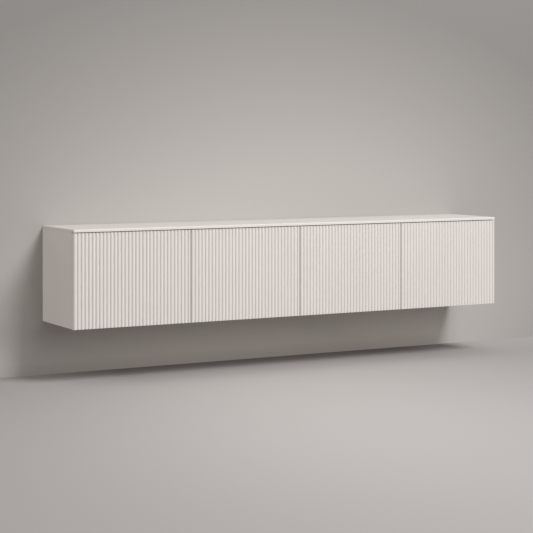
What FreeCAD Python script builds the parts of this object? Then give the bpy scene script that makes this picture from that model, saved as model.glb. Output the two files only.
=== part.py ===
import FreeCAD, Part
import math
import os

# Floating media console: a wall-hung cabinet of four bays behind four equal fluted fronts.
# Frame: +X to the right, +Y towards the wall, +Z up. The wall plane is y = 0 and the fronts face -Y.
# The origin is the middle of the wall rail's screw line, on the wall plane. All lengths are millimetres.

# ---- Overall size
WIDTH = 2000.0              # over the side panels
HEIGHT = 384.0              # over the cover top and the bottom panel
DEPTH = 340.0               # from the wall to the crests of the fluted fronts
BAYS = 4                    # one front closes each bay
RAIL_DROP = 70.0            # from the cover's top face down to the rail's screw line

# ---- Boards
COVER_THICK = 11.0
SIDE_THICK = 18.0
TOP_THICK = 16.0
BOTTOM_THICK = 16.0
PARTITION_THICK = 18.0
BACK_THICK = 8.0
SHELF_THICK = 16.0
EDGE_BREAK = 0.6            # small chamfer along every board edge
CABLE_SPACE = 22.0          # between the back panel and the wall

# ---- Fronts
DOOR_THICK = 20.0           # over the crests
DOOR_CLEAR = 2.5            # between a front's back face and the carcass
DOOR_GAP = 3.0              # between neighbouring fronts
REVEAL = 3.0                # shadow gap under the cover top
RIBS = 33                   # ribs on one front
FLUTE_DEPTH = 4.5
VALLEY_R = 2.6              # radius of the groove floor; the crests take the rest
BACK_EDGE_BREAK = 0.8       # chamfer along a front's back edges

# ---- Shelves and their pins
SHELF_SETBACK = 20.0        # behind the carcass front
SHELF_REAR_GAP = 2.0
SHELF_SIDE_GAP = 1.0
SHELF_RAISE = 150.0         # from the bay's floor to the shelf's underside
PIN_ROW_INSET = 37.0        # of the front and rear rows of pin holes
PIN_PITCH = 32.0            # between the holes of one row
PIN_HOLE_R = 2.5
PIN_HOLE_DEEP = 8.5
PIN_END_GAP = 1.0           # between a pin's peg and the end of its hole
PIN_STEPS = (-1, 0, 1)      # holes of one row, counted from the one in use
PIN_PAD_WIDE = 10.0
PIN_PAD_TALL = 5.0
PIN_PAD_OUT = 8.0           # how far a pin's pad stands out of the board

# ---- Cable outlets in the back panel
OUTLET_R = 30.0
OUTLET_RAISE = 56.0         # from the bay's floor to the outlet's centre
GROMMET_WALL = 2.5
GROMMET_FLANGE = 4.0        # how far the flange covers the panel round the hole
GROMMET_FLANGE_THICK = 2.0

# ---- Wall rail, pressed from sheet
RAIL_SHEET = 2.0
RAIL_END_GAP = 2.0          # between a rail end and the side panel, so that the end hangers' hooks sit on it
RAIL_LEG_DOWN = 16.0        # of the wall leg, below the screw line
RAIL_LEG_UP = 10.0          # of the wall leg, above the screw line
RAIL_STAND = 9.0            # from the wall to the lip's front face
RAIL_LIP = 12.0             # height of the lip over the step
RAIL_HOLE_R = 3.5
RAIL_HOLE_PITCH = 250.0
RAIL_HOLE_MARGIN = 40.0     # least distance from the rail's end to a hole

# ---- Cabinet hangers, one in each bay
HANGER_WIDE = 18.0
HANGER_DEEP = 40.0
HANGER_TALL = 54.0
HANGER_WALL = 2.0
HOOK_THICK = 4.0
HOOK_BAR_TALL = 10.0
HOOK_TIP_DROP = 10.0        # how far the tip reaches down behind the rail's lip
HOOK_TIP_THICK = 4.5
HOOK_SLOT_GAP = 1.5         # round the hook where it passes the back panel
HOOK_LUG_DEEP = 6.0         # the threaded block at the hook's front end
HOOK_LUG_DROP = 26.0
HANGER_SCREW_R = 3.0
HANGER_SCREW_LONG = 14.0
HANGER_SCREW_SPACING = 16.0
HANGER_SCREW_EDGE = 1.0     # left in the lug under the lower screw

# ---- Concealed cup hinges. Their points are in the hinge's own plane: X runs inwards from the front's
# hinge edge, and Y backwards from the front's back face.
HINGE_INSET = 72.0          # from a front's top or bottom edge to a hinge's middle
CUP_R = 17.5
CUP_DEEP = 12.0
CUP_EDGE = 4.0              # from the front's hinge edge to the cup
CUP_WALL = 0.9
CUP_FLOOR = 0.8
CUP_RELIEF = 1.5            # dip in the rim where the links pass over it
CUP_FLANGE_THICK = 1.0
CUP_FLANGE_HALF = 27.0      # half height of the flange
CUP_FLANGE_WIDE = 19.0
CUP_SCREW_SPACING = 45.0
CUP_SCREW_OFFSET = 9.5      # from the cup's centre, away from the hinge edge
CUP_SCREW_R = 1.9
CUP_SCREW_LONG = 10.0
CUP_SCREW_HEAD_R = 3.5
CUP_SCREW_HEAD = 0.9
OUTER_ARM_PIVOT = (38.4, 17.1)
INNER_ARM_PIVOT = (44.0, 5.0)
OUTER_CUP_PIVOT = (10.7, -2.7)
INNER_CUP_PIVOT = (12.0, -6.6)
OUTER_LINK_BEND = (21.5, -1.0)
INNER_LINK_BEND = (19.0, -4.8)
PIVOT_R = 1.25
PIVOT_CLEAR = 0.05          # radial, of a link on its pin
LINK_HALF = 2.1             # half width of a link
INNER_LINK_Z = 2.4          # half thickness of the inner link
OUTER_LINK_Z = (3.0, 5.0)   # where each plate of the outer link lies, from the hinge's middle
ARM_INNER_Z = 5.6           # from the hinge's middle to the inside of the arm's walls
ARM_SHEET = 1.6
POCKET_Z = 7.8              # half height of the cup's pocket
OUTER_WEB = 1.2             # thickness of the outer link's web
OUTER_WEB_LONG = 9.0
EYE_ALONG = 1.2             # free travel of the inner link's oval eye along the link
EYE_ACROSS = 0.8
EYE_WALL = 0.8
ARM_HUB_R = 3.2             # round the fixed pivots
ARM_RISE = 16.0             # from the board to the arm's outer face
ARM_OPEN = 5.0              # from the board to the edges of the arm's walls
ARM_REAR = 76.0             # where the arm ends
ARM_NECK = 25.0             # where the arm's web starts
PLATE_BASE = 2.5
PLATE_FRONT = 31.0
PLATE_REAR = 70.0
PLATE_HALF = 8.0            # half height of the plate under the arm
PLATE_BLOCK_HALF = 5.2
PLATE_BLOCK_FRONT_GAP = 2.0 # of the block behind the base's front end
PLATE_BLOCK_REAR_GAP = 4.0
PLATE_WING_HALF = 23.0
PLATE_WING_WIDE = 14.0
PLATE_SCREW_SPACING = 32.0
PLATE_SCREW_R = 3.0
PLATE_SCREW_DEEP = 8.0
PLATE_SCREW_HEAD_R = 4.8
PLATE_SCREW_HEAD = 1.6
ARM_SCREW_R = 2.6
ARM_SCREW_HEAD_R = 4.4
ARM_SCREW_HEAD = 2.0
ARM_SCREW_LONG = 9.0
ARM_SCREW_INSET = 14.0      # from the arm's rear end

# ---- Push-to-open latches
LATCH_INSET = 42.0          # from a front's free edge to the latch's middle
LATCH_WIDE = 14.0
LATCH_DEEP = 62.0
LATCH_TALL = 14.0
LATCH_SETBACK = 2.0         # behind the carcass front
PLUNGER_R = 4.0
PLUNGER_CLEAR = 0.08
PLUNGER_LONG = 42.0
PLUNGER_TRAVEL = 2.0        # inwards, when the front is pressed
PLUNGER_SPARE = 5.0         # bore left behind a pressed plunger
STRIKE_R = 9.0
STRIKE_THICK = 1.0
STRIKE_GAP = 0.3            # between the plunger's tip and the strike plate

# ---- Carcass connectors and screws
CAM_R = 7.5
CAM_DEEP = 12.5
CAM_INSET = 24.0            # from the joint to a cam's centre
CAM_SETBACK = 60.0          # of the cams behind the carcass front, and before the back panel
CAM_SLOT = 8.4              # width of a cam's slot for its bolt
CAM_FLOOR = 1.0             # behind that slot
CAM_DRIVER_LONG = 9.0
CAM_DRIVER_WIDE = 1.8
CAM_DRIVER_DEEP = 1.6
BOLT_R = 3.4
BOLT_HOLE_R = 4.0
BOLT_BITE = 11.0            # of a bolt in the board it screws into
BOLT_HEAD_GAP = 3.0         # between a bolt's end and its cam's centre
COVER_SCREW_R = 2.0
COVER_SCREW_BITE = 7.0
COVER_SCREW_HEAD_R = 4.0
COVER_SCREW_HEAD = 2.4
COVER_SCREW_INSET = 70.0
BUMPER_R = 4.0
BUMPER_INSET = 20.0         # from a front's free edge
BUMPER_GAP = 0.3            # between a bumper and the closed front

FIT = 0.03                  # radial gap of a pressed or screwed piece in its hole
THROUGH = 2.0               # how far a cutting tool passes a face

# ---- Levels and planes worked out from the sizes above
X_RIGHT = WIDTH / 2
X_LEFT = -X_RIGHT
Z_TOP = RAIL_DROP
Z_BOTTOM = Z_TOP - HEIGHT
Z_COVER = Z_TOP - COVER_THICK
Z_CEILING = Z_COVER - TOP_THICK
Z_FLOOR = Z_BOTTOM + BOTTOM_THICK
Z_DOOR_TOP = Z_COVER - REVEAL
Y_FRONT = -DEPTH
Y_DOOR_BACK = Y_FRONT + DOOR_THICK
Y_CARCASS = Y_DOOR_BACK + DOOR_CLEAR
Y_BACK_REAR = -CABLE_SPACE
Y_BACK_FACE = Y_BACK_REAR - BACK_THICK
DOOR_WIDE = (WIDTH - (BAYS - 1) * DOOR_GAP) / BAYS
CUP_X = CUP_EDGE + CUP_R
OVERLAY_END = SIDE_THICK                                # board face, seen from an end front's hinge edge
OVERLAY_MIDDLE = PARTITION_THICK / 2 - DOOR_GAP / 2     # the same on a partition
HINGE_LEVELS = (Z_BOTTOM + HINGE_INSET, Z_DOOR_TOP - HINGE_INSET)
PLATE_SCREW_Y = DOOR_CLEAR + PIN_ROW_INSET
ARM_WALL_Z = (ARM_INNER_Z, ARM_INNER_Z + ARM_SHEET)
ARM_SCREW_Y = ARM_REAR - ARM_SCREW_INSET
PLUNGER_TIP = Y_DOOR_BACK + STRIKE_THICK + STRIKE_GAP
RAIL_HALF = X_RIGHT - SIDE_THICK - RAIL_END_GAP
RAIL_HOLE_PAIRS = int((RAIL_HALF - RAIL_HOLE_MARGIN) / RAIL_HOLE_PITCH + 0.5)   # each side of the middle


def door_left(number):
    return X_LEFT + (number - 1) * (DOOR_WIDE + DOOR_GAP)


def hinge_side(number):
    """+1 where the front hangs on its left edge, -1 where it hangs on its right edge."""
    return 1 if number <= BAYS / 2 else -1


def hinge_edge(number):
    return door_left(number) if hinge_side(number) > 0 else door_left(number) + DOOR_WIDE


def is_end(number):
    return number in (1, BAYS)


def board_face(number):
    """Distance from the front's hinge edge to the face of the board that carries its hinges."""
    return OVERLAY_END if is_end(number) else OVERLAY_MIDDLE


def partition_middle(index):
    return door_left(index + 1) - DOOR_GAP / 2


def bay_limits(number):
    low = X_LEFT + SIDE_THICK
    high = X_RIGHT - SIDE_THICK
    if number > 1:
        low = partition_middle(number - 1) + PARTITION_THICK / 2
    if number < BAYS:
        high = partition_middle(number) - PARTITION_THICK / 2
    return low, high


# ---- Small builders

def box(x, y, z):
    """A box from three (low, high) pairs."""
    corner = FreeCAD.Vector(x[0], y[0], z[0])
    return Part.makeBox(x[1] - x[0], y[1] - y[0], z[1] - z[0], corner)


def board(x, y, z):
    """A box with a small chamfer along every edge."""
    solid = box(x, y, z)
    return solid.makeChamfer(EDGE_BREAK, solid.Edges)


def rod(radius, start, axis, length):
    return Part.makeCylinder(radius, length, FreeCAD.Vector(*start), FreeCAD.Vector(*axis))


def cut_all(solid, tools):
    return solid.cut(Part.makeCompound(tools)) if tools else solid


def prism(points, low, high):
    """A straight-sided outline in X and Y, carried from height low to height high."""
    corners = [FreeCAD.Vector(x, y, low) for x, y in points]
    wire = Part.makePolygon(corners + corners[:1])
    return Part.Face(wire).extrude(FreeCAD.Vector(0, 0, high - low))


def strip(points, half_width, low, high):
    """A flat strip with round ends that follows straight runs between points in X and Y."""
    pieces = []
    for start, end in zip(points, points[1:]):
        dx, dy = end[0] - start[0], end[1] - start[1]
        length = math.hypot(dx, dy)
        nx, ny = -dy / length * half_width, dx / length * half_width
        run = ((start[0] + nx, start[1] + ny), (end[0] + nx, end[1] + ny),
               (end[0] - nx, end[1] - ny), (start[0] - nx, start[1] - ny))
        pieces.append(prism(run, low, high))
    for x, y in points:
        pieces.append(rod(half_width, (x, y, low), (0, 0, 1), high - low))
    return pieces[0].multiFuse(pieces[1:]).removeSplitter()


def both_levels(low, high):
    """The two height ranges at equal distances above and below a hinge's middle."""
    return ((low, high), (-high, -low))


def place_in_hinge_plane(solid, number, level):
    """Moves a hinge piece from the hinge's own plane to its front, mirrored on a right-hung one."""
    if hinge_side(number) < 0:
        solid = solid.mirror(FreeCAD.Vector(0, 0, 0), FreeCAD.Vector(1, 0, 0))
    placed = solid.copy()
    placed.translate(FreeCAD.Vector(hinge_edge(number), Y_DOOR_BACK, level))
    return placed


def hinge_set(solid, number):
    """The two copies of a hinge piece on one front."""
    return [place_in_hinge_plane(solid, number, level) for level in HINGE_LEVELS]


def save(name, solids):
    shape = solids[0] if len(solids) == 1 else Part.makeCompound(solids)
    shape.exportStep("parts/" + name + ".step")
    count = len(shape.Solids)
    print(name, count, "solids", "valid" if shape.isValid() else "NOT VALID")


# ---- Cup hinge pieces, in the hinge's own plane

def hinge_cup():
    """A die-cast cup with a slot-shaped pocket, and a thin flange with two screw wings."""
    mouth = CUP_FLANGE_THICK
    cup = rod(CUP_R - FIT, (CUP_X, -CUP_DEEP, 0), (0, 1, 0), CUP_DEEP)
    flange_low = CUP_X + CUP_SCREW_OFFSET - CUP_FLANGE_WIDE / 2
    flange = box((flange_low, flange_low + CUP_FLANGE_WIDE), (0, mouth),
                 (-CUP_FLANGE_HALF, CUP_FLANGE_HALF))
    rim = rod(CUP_R + CUP_WALL, (CUP_X, 0, 0), (0, 1, 0), mouth)
    cup = cup.multiFuse([flange, rim]).removeSplitter()
    bowl = rod(CUP_R - CUP_WALL, (CUP_X, CUP_FLOOR - CUP_DEEP, 0), (0, 1, 0), CUP_DEEP + mouth)
    slab = box((0, 2 * CUP_X), (-CUP_DEEP, mouth), (-POCKET_Z, POCKET_Z))
    notch = box((-CUP_R, 2 * CUP_X + CUP_R), (0, mouth), (-POCKET_Z, POCKET_Z))
    relief = box((CUP_EDGE + FIT, CUP_X), (-CUP_RELIEF, mouth), (-POCKET_Z, POCKET_Z))
    tools = [bowl.common(slab), notch, relief]
    for level in (-CUP_SCREW_SPACING / 2, CUP_SCREW_SPACING / 2):
        start = (CUP_X + CUP_SCREW_OFFSET, -THROUGH, level)
        tools.append(rod(CUP_SCREW_R + FIT, start, (0, 1, 0), 2 * THROUGH))
    tools += cup_pins_at(FIT)
    return cut_all(cup, tools)


def cup_pin_reach():
    """Half length of the pins in a cup: they end inside its cheeks."""
    offset = max(abs(CUP_X - OUTER_CUP_PIVOT[0]), abs(CUP_X - INNER_CUP_PIVOT[0])) + PIVOT_R
    return math.sqrt(CUP_R ** 2 - offset ** 2) - CUP_WALL


def cup_pins_at(extra):
    """Pins of a cup: two stubs carry the outer link, and one pin passes the inner link's eye."""
    reach = cup_pin_reach()
    pins = []
    for low, high in both_levels(INNER_LINK_Z + PIVOT_CLEAR, reach):
        pins.append(rod(PIVOT_R + extra, (*OUTER_CUP_PIVOT, low), (0, 0, 1), high - low))
    pins.append(rod(PIVOT_R + extra, (*INNER_CUP_PIVOT, -reach), (0, 0, 1), 2 * reach))
    return pins


def arm_pins_at(extra):
    """Pins of an arm: two stubs carry the outer link, and one pin carries the inner link."""
    reach = ARM_WALL_Z[1]
    pins = []
    for low, high in both_levels(INNER_LINK_Z + PIVOT_CLEAR, reach):
        pins.append(rod(PIVOT_R + extra, (*OUTER_ARM_PIVOT, low), (0, 0, 1), high - low))
    pins.append(rod(PIVOT_R + extra, (*INNER_ARM_PIVOT, -reach), (0, 0, 1), 2 * reach))
    return pins


def outer_link():
    """Two bent plates joined by a web on the side away from the inner link."""
    route = (OUTER_ARM_PIVOT, OUTER_LINK_BEND, OUTER_CUP_PIVOT)
    plates = [strip(route, LINK_HALF, low, high) for low, high in both_levels(*OUTER_LINK_Z)]
    (ax, ay), (bx, by) = OUTER_ARM_PIVOT, OUTER_LINK_BEND
    length = math.hypot(bx - ax, by - ay)
    ux, uy = (bx - ax) / length, (by - ay) / length
    offset = LINK_HALF - OUTER_WEB / 2
    start = (ax + ux * LINK_HALF * 2 + uy * offset, ay + uy * LINK_HALF * 2 - ux * offset)
    end = (start[0] + ux * OUTER_WEB_LONG, start[1] + uy * OUTER_WEB_LONG)
    web = strip((start, end), OUTER_WEB / 2, -OUTER_LINK_Z[1], OUTER_LINK_Z[1])
    link = plates[0].multiFuse([plates[1], web]).removeSplitter()
    reach = OUTER_LINK_Z[1] + THROUGH
    holes = [rod(PIVOT_R + PIVOT_CLEAR, (*pivot, -reach), (0, 0, 1), 2 * reach)
             for pivot in (OUTER_ARM_PIVOT, OUTER_CUP_PIVOT)]
    return cut_all(link, holes)


def inner_link():
    """One thick plate, with a round hole on the arm's pin and an oval eye round the cup's pin."""
    (ax, ay), (bx, by) = INNER_ARM_PIVOT, INNER_CUP_PIVOT
    length = math.hypot(bx - ax, by - ay)
    ux, uy = (bx - ax) / length * EYE_ALONG, (by - ay) / length * EYE_ALONG
    eye = ((bx - ux, by - uy), (bx + ux, by + uy))
    z = (-INNER_LINK_Z, INNER_LINK_Z)
    eye_half = PIVOT_R + EYE_ACROSS
    shank = strip((INNER_ARM_PIVOT, INNER_LINK_BEND, INNER_CUP_PIVOT), LINK_HALF, *z)
    link = shank.fuse(strip(eye, eye_half + EYE_WALL, *z)).removeSplitter()
    tools = [rod(PIVOT_R + PIVOT_CLEAR, (ax, ay, z[0] - THROUGH), (0, 0, 1), 2 * (z[1] + THROUGH)),
             strip(eye, eye_half, z[0] - THROUGH, z[1] + THROUGH)]
    return cut_all(link, tools)


def hinge_arm(number):
    """A pressed channel: two walls that hold the fixed pivots, and a web on the side away from the board."""
    open_side = board_face(number) + ARM_OPEN
    web_out = board_face(number) + ARM_RISE
    web_in = web_out - ARM_SHEET
    neck = ((OUTER_ARM_PIVOT[0] - ARM_HUB_R, OUTER_ARM_PIVOT[1]), INNER_ARM_PIVOT,
            (INNER_ARM_PIVOT[0] + ARM_HUB_R, INNER_ARM_PIVOT[1]), (INNER_ARM_PIVOT[0], ARM_NECK),
            (web_out, PLATE_FRONT), (web_out, ARM_REAR), (open_side, ARM_REAR), (open_side, PLATE_FRONT))
    web_run = ((INNER_ARM_PIVOT[0], ARM_NECK), (web_out, PLATE_FRONT), (web_out, ARM_REAR),
               (web_in, ARM_REAR), (web_in, PLATE_FRONT), (INNER_ARM_PIVOT[0] - 2 * ARM_SHEET, ARM_NECK))
    pieces = [prism(web_run, -ARM_WALL_Z[1], ARM_WALL_Z[1])]
    for low, high in both_levels(*ARM_WALL_Z):
        pieces.append(prism(neck, low, high))
        for pivot in (OUTER_ARM_PIVOT, INNER_ARM_PIVOT):
            pieces.append(rod(ARM_HUB_R, (*pivot, low), (0, 0, 1), high - low))
    arm = pieces[0].multiFuse(pieces[1:]).removeSplitter()
    hole = rod(ARM_SCREW_R + FIT, (web_in - THROUGH, ARM_SCREW_Y, 0), (1, 0, 0), ARM_SHEET + 2 * THROUGH)
    return cut_all(arm, arm_pins_at(FIT) + [hole])


def mounting_plate(number):
    """A cross-shaped base screwed to the board, with a block that fills the arm's channel."""
    face = board_face(number)
    under_arm = face + ARM_RISE - ARM_SHEET
    base = box((face, face + PLATE_BASE), (PLATE_FRONT, PLATE_REAR), (-PLATE_HALF, PLATE_HALF))
    wing_y = (PLATE_SCREW_Y - PLATE_WING_WIDE / 2, PLATE_SCREW_Y + PLATE_WING_WIDE / 2)
    wings = box((face, face + PLATE_BASE), wing_y, (-PLATE_WING_HALF, PLATE_WING_HALF))
    block = box((face + PLATE_BASE, under_arm),
                (PLATE_FRONT + PLATE_BLOCK_FRONT_GAP, PLATE_REAR - PLATE_BLOCK_REAR_GAP),
                (-PLATE_BLOCK_HALF, PLATE_BLOCK_HALF))
    plate = base.multiFuse([wings, block]).removeSplitter()
    tools = [arm_screw_at(number, FIT)]
    for level in (-PLATE_SCREW_SPACING / 2, PLATE_SCREW_SPACING / 2):
        start = (face - THROUGH, PLATE_SCREW_Y, level)
        tools.append(rod(PLATE_SCREW_R + FIT, start, (1, 0, 0), PLATE_BASE + 2 * THROUGH))
    return cut_all(plate, tools)


def arm_screw_at(number, extra):
    """Shank of the screw that clamps an arm on its plate. Its hole is larger by extra."""
    tip = board_face(number) + ARM_RISE - ARM_SCREW_LONG
    return rod(ARM_SCREW_R + extra, (tip - extra, ARM_SCREW_Y, 0), (1, 0, 0), ARM_SCREW_LONG + extra)


def arm_screw(number):
    seat = (board_face(number) + ARM_RISE, ARM_SCREW_Y, 0)
    head = rod(ARM_SCREW_HEAD_R, seat, (1, 0, 0), ARM_SCREW_HEAD)
    return arm_screw_at(number, 0).fuse(head).removeSplitter()


def plate_screws(number):
    """The two screws of a mounting plate, as one compound."""
    face = board_face(number)
    solids = []
    for level in (-PLATE_SCREW_SPACING / 2, PLATE_SCREW_SPACING / 2):
        end = (face - PLATE_SCREW_DEEP, PLATE_SCREW_Y, level)
        seat = (face + PLATE_BASE, PLATE_SCREW_Y, level)
        shank = rod(PLATE_SCREW_R, end, (1, 0, 0), PLATE_SCREW_DEEP + PLATE_BASE)
        head = rod(PLATE_SCREW_HEAD_R, seat, (1, 0, 0), PLATE_SCREW_HEAD)
        solids.append(shank.fuse(head).removeSplitter())
    return Part.makeCompound(solids)


def plate_screw_holes(number):
    """Holes in the carrying board for the screws of both mounting plates of a front."""
    face = board_face(number)
    holes = []
    for level in (-PLATE_SCREW_SPACING / 2, PLATE_SCREW_SPACING / 2):
        end = (face - PLATE_SCREW_DEEP - FIT, PLATE_SCREW_Y, level)
        hole = rod(PLATE_SCREW_R + FIT, end, (1, 0, 0), PLATE_SCREW_DEEP + 2 * FIT)
        holes += [place_in_hinge_plane(hole, number, middle) for middle in HINGE_LEVELS]
    return holes


def cup_screws():
    """The two screws of a cup, as one compound."""
    solids = []
    middle = CUP_X + CUP_SCREW_OFFSET
    length = CUP_SCREW_LONG + CUP_FLANGE_THICK
    for level in (-CUP_SCREW_SPACING / 2, CUP_SCREW_SPACING / 2):
        shank = rod(CUP_SCREW_R, (middle, -CUP_SCREW_LONG, level), (0, 1, 0), length)
        head = rod(CUP_SCREW_HEAD_R, (middle, CUP_FLANGE_THICK, level), (0, 1, 0), CUP_SCREW_HEAD)
        solids.append(shank.fuse(head).removeSplitter())
    return Part.makeCompound(solids)


# ---- Fluted fronts

def fluted_outline(width):
    """Outline of a front in plan, from arcs that meet tangentially: wide crests and narrower valleys.

    Over half a pitch the outline turns by the same angle, the swing, in the valley and on the crest, so the
    swing follows from the pitch and the flutes' depth alone. Each side edge lies in the middle of a valley.
    """
    pitch = width / RIBS
    swing = 2 * math.atan(FLUTE_DEPTH / (pitch / 2))
    valley = FLUTE_DEPTH - DOOR_THICK
    half = swing / 2
    across, half_across = VALLEY_R * math.sin(swing), VALLEY_R * math.sin(half)
    join_y = valley - VALLEY_R * (1 - math.cos(swing))
    half_y = valley - VALLEY_R * (1 - math.cos(half))

    def point(x, y):
        return FreeCAD.Vector(x, y, 0)

    def arc(start, middle, end):
        return Part.Arc(point(*start), point(*middle), point(*end)).toShape()

    edges = [arc((0, valley), (half_across, half_y), (across, join_y))]
    for rib in range(RIBS):
        low, high = rib * pitch, (rib + 1) * pitch
        edges.append(arc((low + across, join_y), ((low + high) / 2, -DOOR_THICK), (high - across, join_y)))
        if rib < RIBS - 1:
            edges.append(arc((high - across, join_y), (high, valley), (high + across, join_y)))
    edges.append(arc((width - across, join_y), (width - half_across, half_y), (width, valley)))
    corners = ((width, valley), (width, -BACK_EDGE_BREAK), (width - BACK_EDGE_BREAK, 0),
               (BACK_EDGE_BREAK, 0), (0, -BACK_EDGE_BREAK), (0, valley))
    for start, end in zip(corners, corners[1:]):
        edges.append(Part.LineSegment(point(*start), point(*end)).toShape())
    return Part.Wire(Part.__sortEdges__(edges))


def door(number):
    """A fluted front with bores for its cups and pilot holes for their screws."""
    panel = Part.Face(fluted_outline(DOOR_WIDE)).extrude(FreeCAD.Vector(0, 0, Z_DOOR_TOP - Z_BOTTOM))
    panel.translate(FreeCAD.Vector(door_left(number), Y_DOOR_BACK, Z_BOTTOM))
    tools = []
    for level in HINGE_LEVELS:
        bore = rod(CUP_R, (CUP_X, -CUP_DEEP - FIT, 0), (0, 1, 0), CUP_DEEP + FIT)
        tools.append(place_in_hinge_plane(bore, number, level))
        for offset in (-CUP_SCREW_SPACING / 2, CUP_SCREW_SPACING / 2):
            end = (CUP_X + CUP_SCREW_OFFSET, -CUP_SCREW_LONG - FIT, offset)
            pilot = rod(CUP_SCREW_R + FIT, end, (0, 1, 0), CUP_SCREW_LONG + FIT)
            tools.append(place_in_hinge_plane(pilot, number, level))
    return cut_all(panel, tools)


# ---- Push-to-open latches

def latch_middle(number):
    free_edge = hinge_edge(number) + hinge_side(number) * DOOR_WIDE
    return free_edge - hinge_side(number) * LATCH_INSET, Z_CEILING - LATCH_TALL / 2


def latch_housing(number):
    """A slim body under the carcass top, bored from the front for its plunger."""
    x, z = latch_middle(number)
    y = Y_CARCASS + LATCH_SETBACK
    body = board((x - LATCH_WIDE / 2, x + LATCH_WIDE / 2), (y, y + LATCH_DEEP),
                 (z - LATCH_TALL / 2, Z_CEILING))
    bore_end = PLUNGER_TIP + PLUNGER_LONG + PLUNGER_TRAVEL + PLUNGER_SPARE
    return body.cut(rod(PLUNGER_R + PLUNGER_CLEAR, (x, y, z), (0, 1, 0), bore_end - y))


def latch_plunger(number):
    """A round plunger with a broken edge at its tip, which waits just off the strike plate."""
    x, z = latch_middle(number)
    plunger = rod(PLUNGER_R, (x, PLUNGER_TIP, z), (0, 1, 0), PLUNGER_LONG)
    front_edge = [edge for edge in plunger.Edges if edge.BoundBox.YMax < PLUNGER_TIP + EDGE_BREAK]
    return plunger.makeChamfer(EDGE_BREAK, front_edge)


def strike_plate(number):
    x, z = latch_middle(number)
    return rod(STRIKE_R, (x, Y_DOOR_BACK, z), (0, 1, 0), STRIKE_THICK)


def bumpers(number):
    """Soft discs on the carcass front near a front's free edge, one low and one high."""
    free_edge = hinge_edge(number) + hinge_side(number) * DOOR_WIDE
    x = free_edge - hinge_side(number) * BUMPER_INSET
    thick = DOOR_CLEAR - BUMPER_GAP
    levels = ((Z_BOTTOM + Z_FLOOR) / 2, (Z_CEILING + Z_COVER) / 2)
    return [rod(BUMPER_R, (x, Y_CARCASS - thick, level), (0, 1, 0), thick) for level in levels]


# ---- Shelves and pins

def pin_rows():
    return Y_CARCASS + PIN_ROW_INSET, Y_BACK_FACE - PIN_ROW_INSET


def pin_level():
    """Height of the peg that carries a shelf: its pad's top is the shelf's underside."""
    return Z_FLOOR + SHELF_RAISE - PIN_PAD_TALL / 2


def pin_holes(number):
    """The rows of holes on both boards of a bay."""
    low, high = bay_limits(number)
    holes = []
    for y in pin_rows():
        for step in PIN_STEPS:
            z = pin_level() + step * PIN_PITCH
            holes.append(rod(PIN_HOLE_R + FIT, (low - PIN_HOLE_DEEP, y, z), (1, 0, 0), PIN_HOLE_DEEP + FIT))
            holes.append(rod(PIN_HOLE_R + FIT, (high - FIT, y, z), (1, 0, 0), PIN_HOLE_DEEP + FIT))
    return holes


def shelf_pins(number):
    low, high = bay_limits(number)
    peg_long = PIN_HOLE_DEEP - PIN_END_GAP
    z = pin_level()
    pins = []
    for y in pin_rows():
        pad_y = (y - PIN_PAD_WIDE / 2, y + PIN_PAD_WIDE / 2)
        pad_z = (z - PIN_PAD_TALL / 2, z + PIN_PAD_TALL / 2)
        left = box((low, low + PIN_PAD_OUT), pad_y, pad_z)
        right = box((high - PIN_PAD_OUT, high), pad_y, pad_z)
        for pad, start in ((left, low - peg_long), (right, high)):
            pins.append(pad.fuse(rod(PIN_HOLE_R, (start, y, z), (1, 0, 0), peg_long)).removeSplitter())
    return pins


def shelf(number):
    low, high = bay_limits(number)
    z = Z_FLOOR + SHELF_RAISE
    return board((low + SHELF_SIDE_GAP, high - SHELF_SIDE_GAP),
                 (Y_CARCASS + SHELF_SETBACK, Y_BACK_FACE - SHELF_REAR_GAP), (z, z + SHELF_THICK))


# ---- Cable outlets

def outlet_middle(number):
    low, high = bay_limits(number)
    return (low + high) / 2, Z_FLOOR + OUTLET_RAISE


def grommet(number):
    """A liner through the back panel with a flange on the bay's side."""
    x, z = outlet_middle(number)
    sleeve = rod(OUTLET_R - FIT, (x, Y_BACK_FACE, z), (0, 1, 0), BACK_THICK)
    flange = rod(OUTLET_R + GROMMET_FLANGE, (x, Y_BACK_FACE - GROMMET_FLANGE_THICK, z), (0, 1, 0),
                 GROMMET_FLANGE_THICK)
    bore = rod(OUTLET_R - GROMMET_WALL, (x, Y_BACK_FACE - GROMMET_FLANGE_THICK - THROUGH, z), (0, 1, 0),
               BACK_THICK + GROMMET_FLANGE_THICK + 2 * THROUGH)
    return sleeve.fuse(flange).removeSplitter().cut(bore)


# ---- Wall rail and hangers

def rail_profile():
    """Section of the rail in Y and Z: wall leg, step, and the lip that the hooks sit on."""
    step_low = RAIL_LEG_UP
    step_high = step_low + RAIL_SHEET
    return ((0, -RAIL_LEG_DOWN), (0, step_high), (-(RAIL_STAND - RAIL_SHEET), step_high),
            (-(RAIL_STAND - RAIL_SHEET), step_high + RAIL_LIP), (-RAIL_STAND, step_high + RAIL_LIP),
            (-RAIL_STAND, step_low), (-RAIL_SHEET, step_low), (-RAIL_SHEET, -RAIL_LEG_DOWN))


def wall_rail():
    """The pressed rail, with a row of holes for its wall screws."""
    corners = [FreeCAD.Vector(-RAIL_HALF, y, z) for y, z in rail_profile()]
    rail = Part.Face(Part.makePolygon(corners + corners[:1])).extrude(FreeCAD.Vector(2 * RAIL_HALF, 0, 0))
    holes = []
    for index in range(RAIL_HOLE_PAIRS):
        for side in (-1, 1):
            start = (side * (index + 0.5) * RAIL_HOLE_PITCH, -RAIL_SHEET - THROUGH, 0)
            holes.append(rod(RAIL_HOLE_R, start, (0, 1, 0), RAIL_SHEET + 2 * THROUGH))
    return cut_all(rail, holes)


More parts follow.
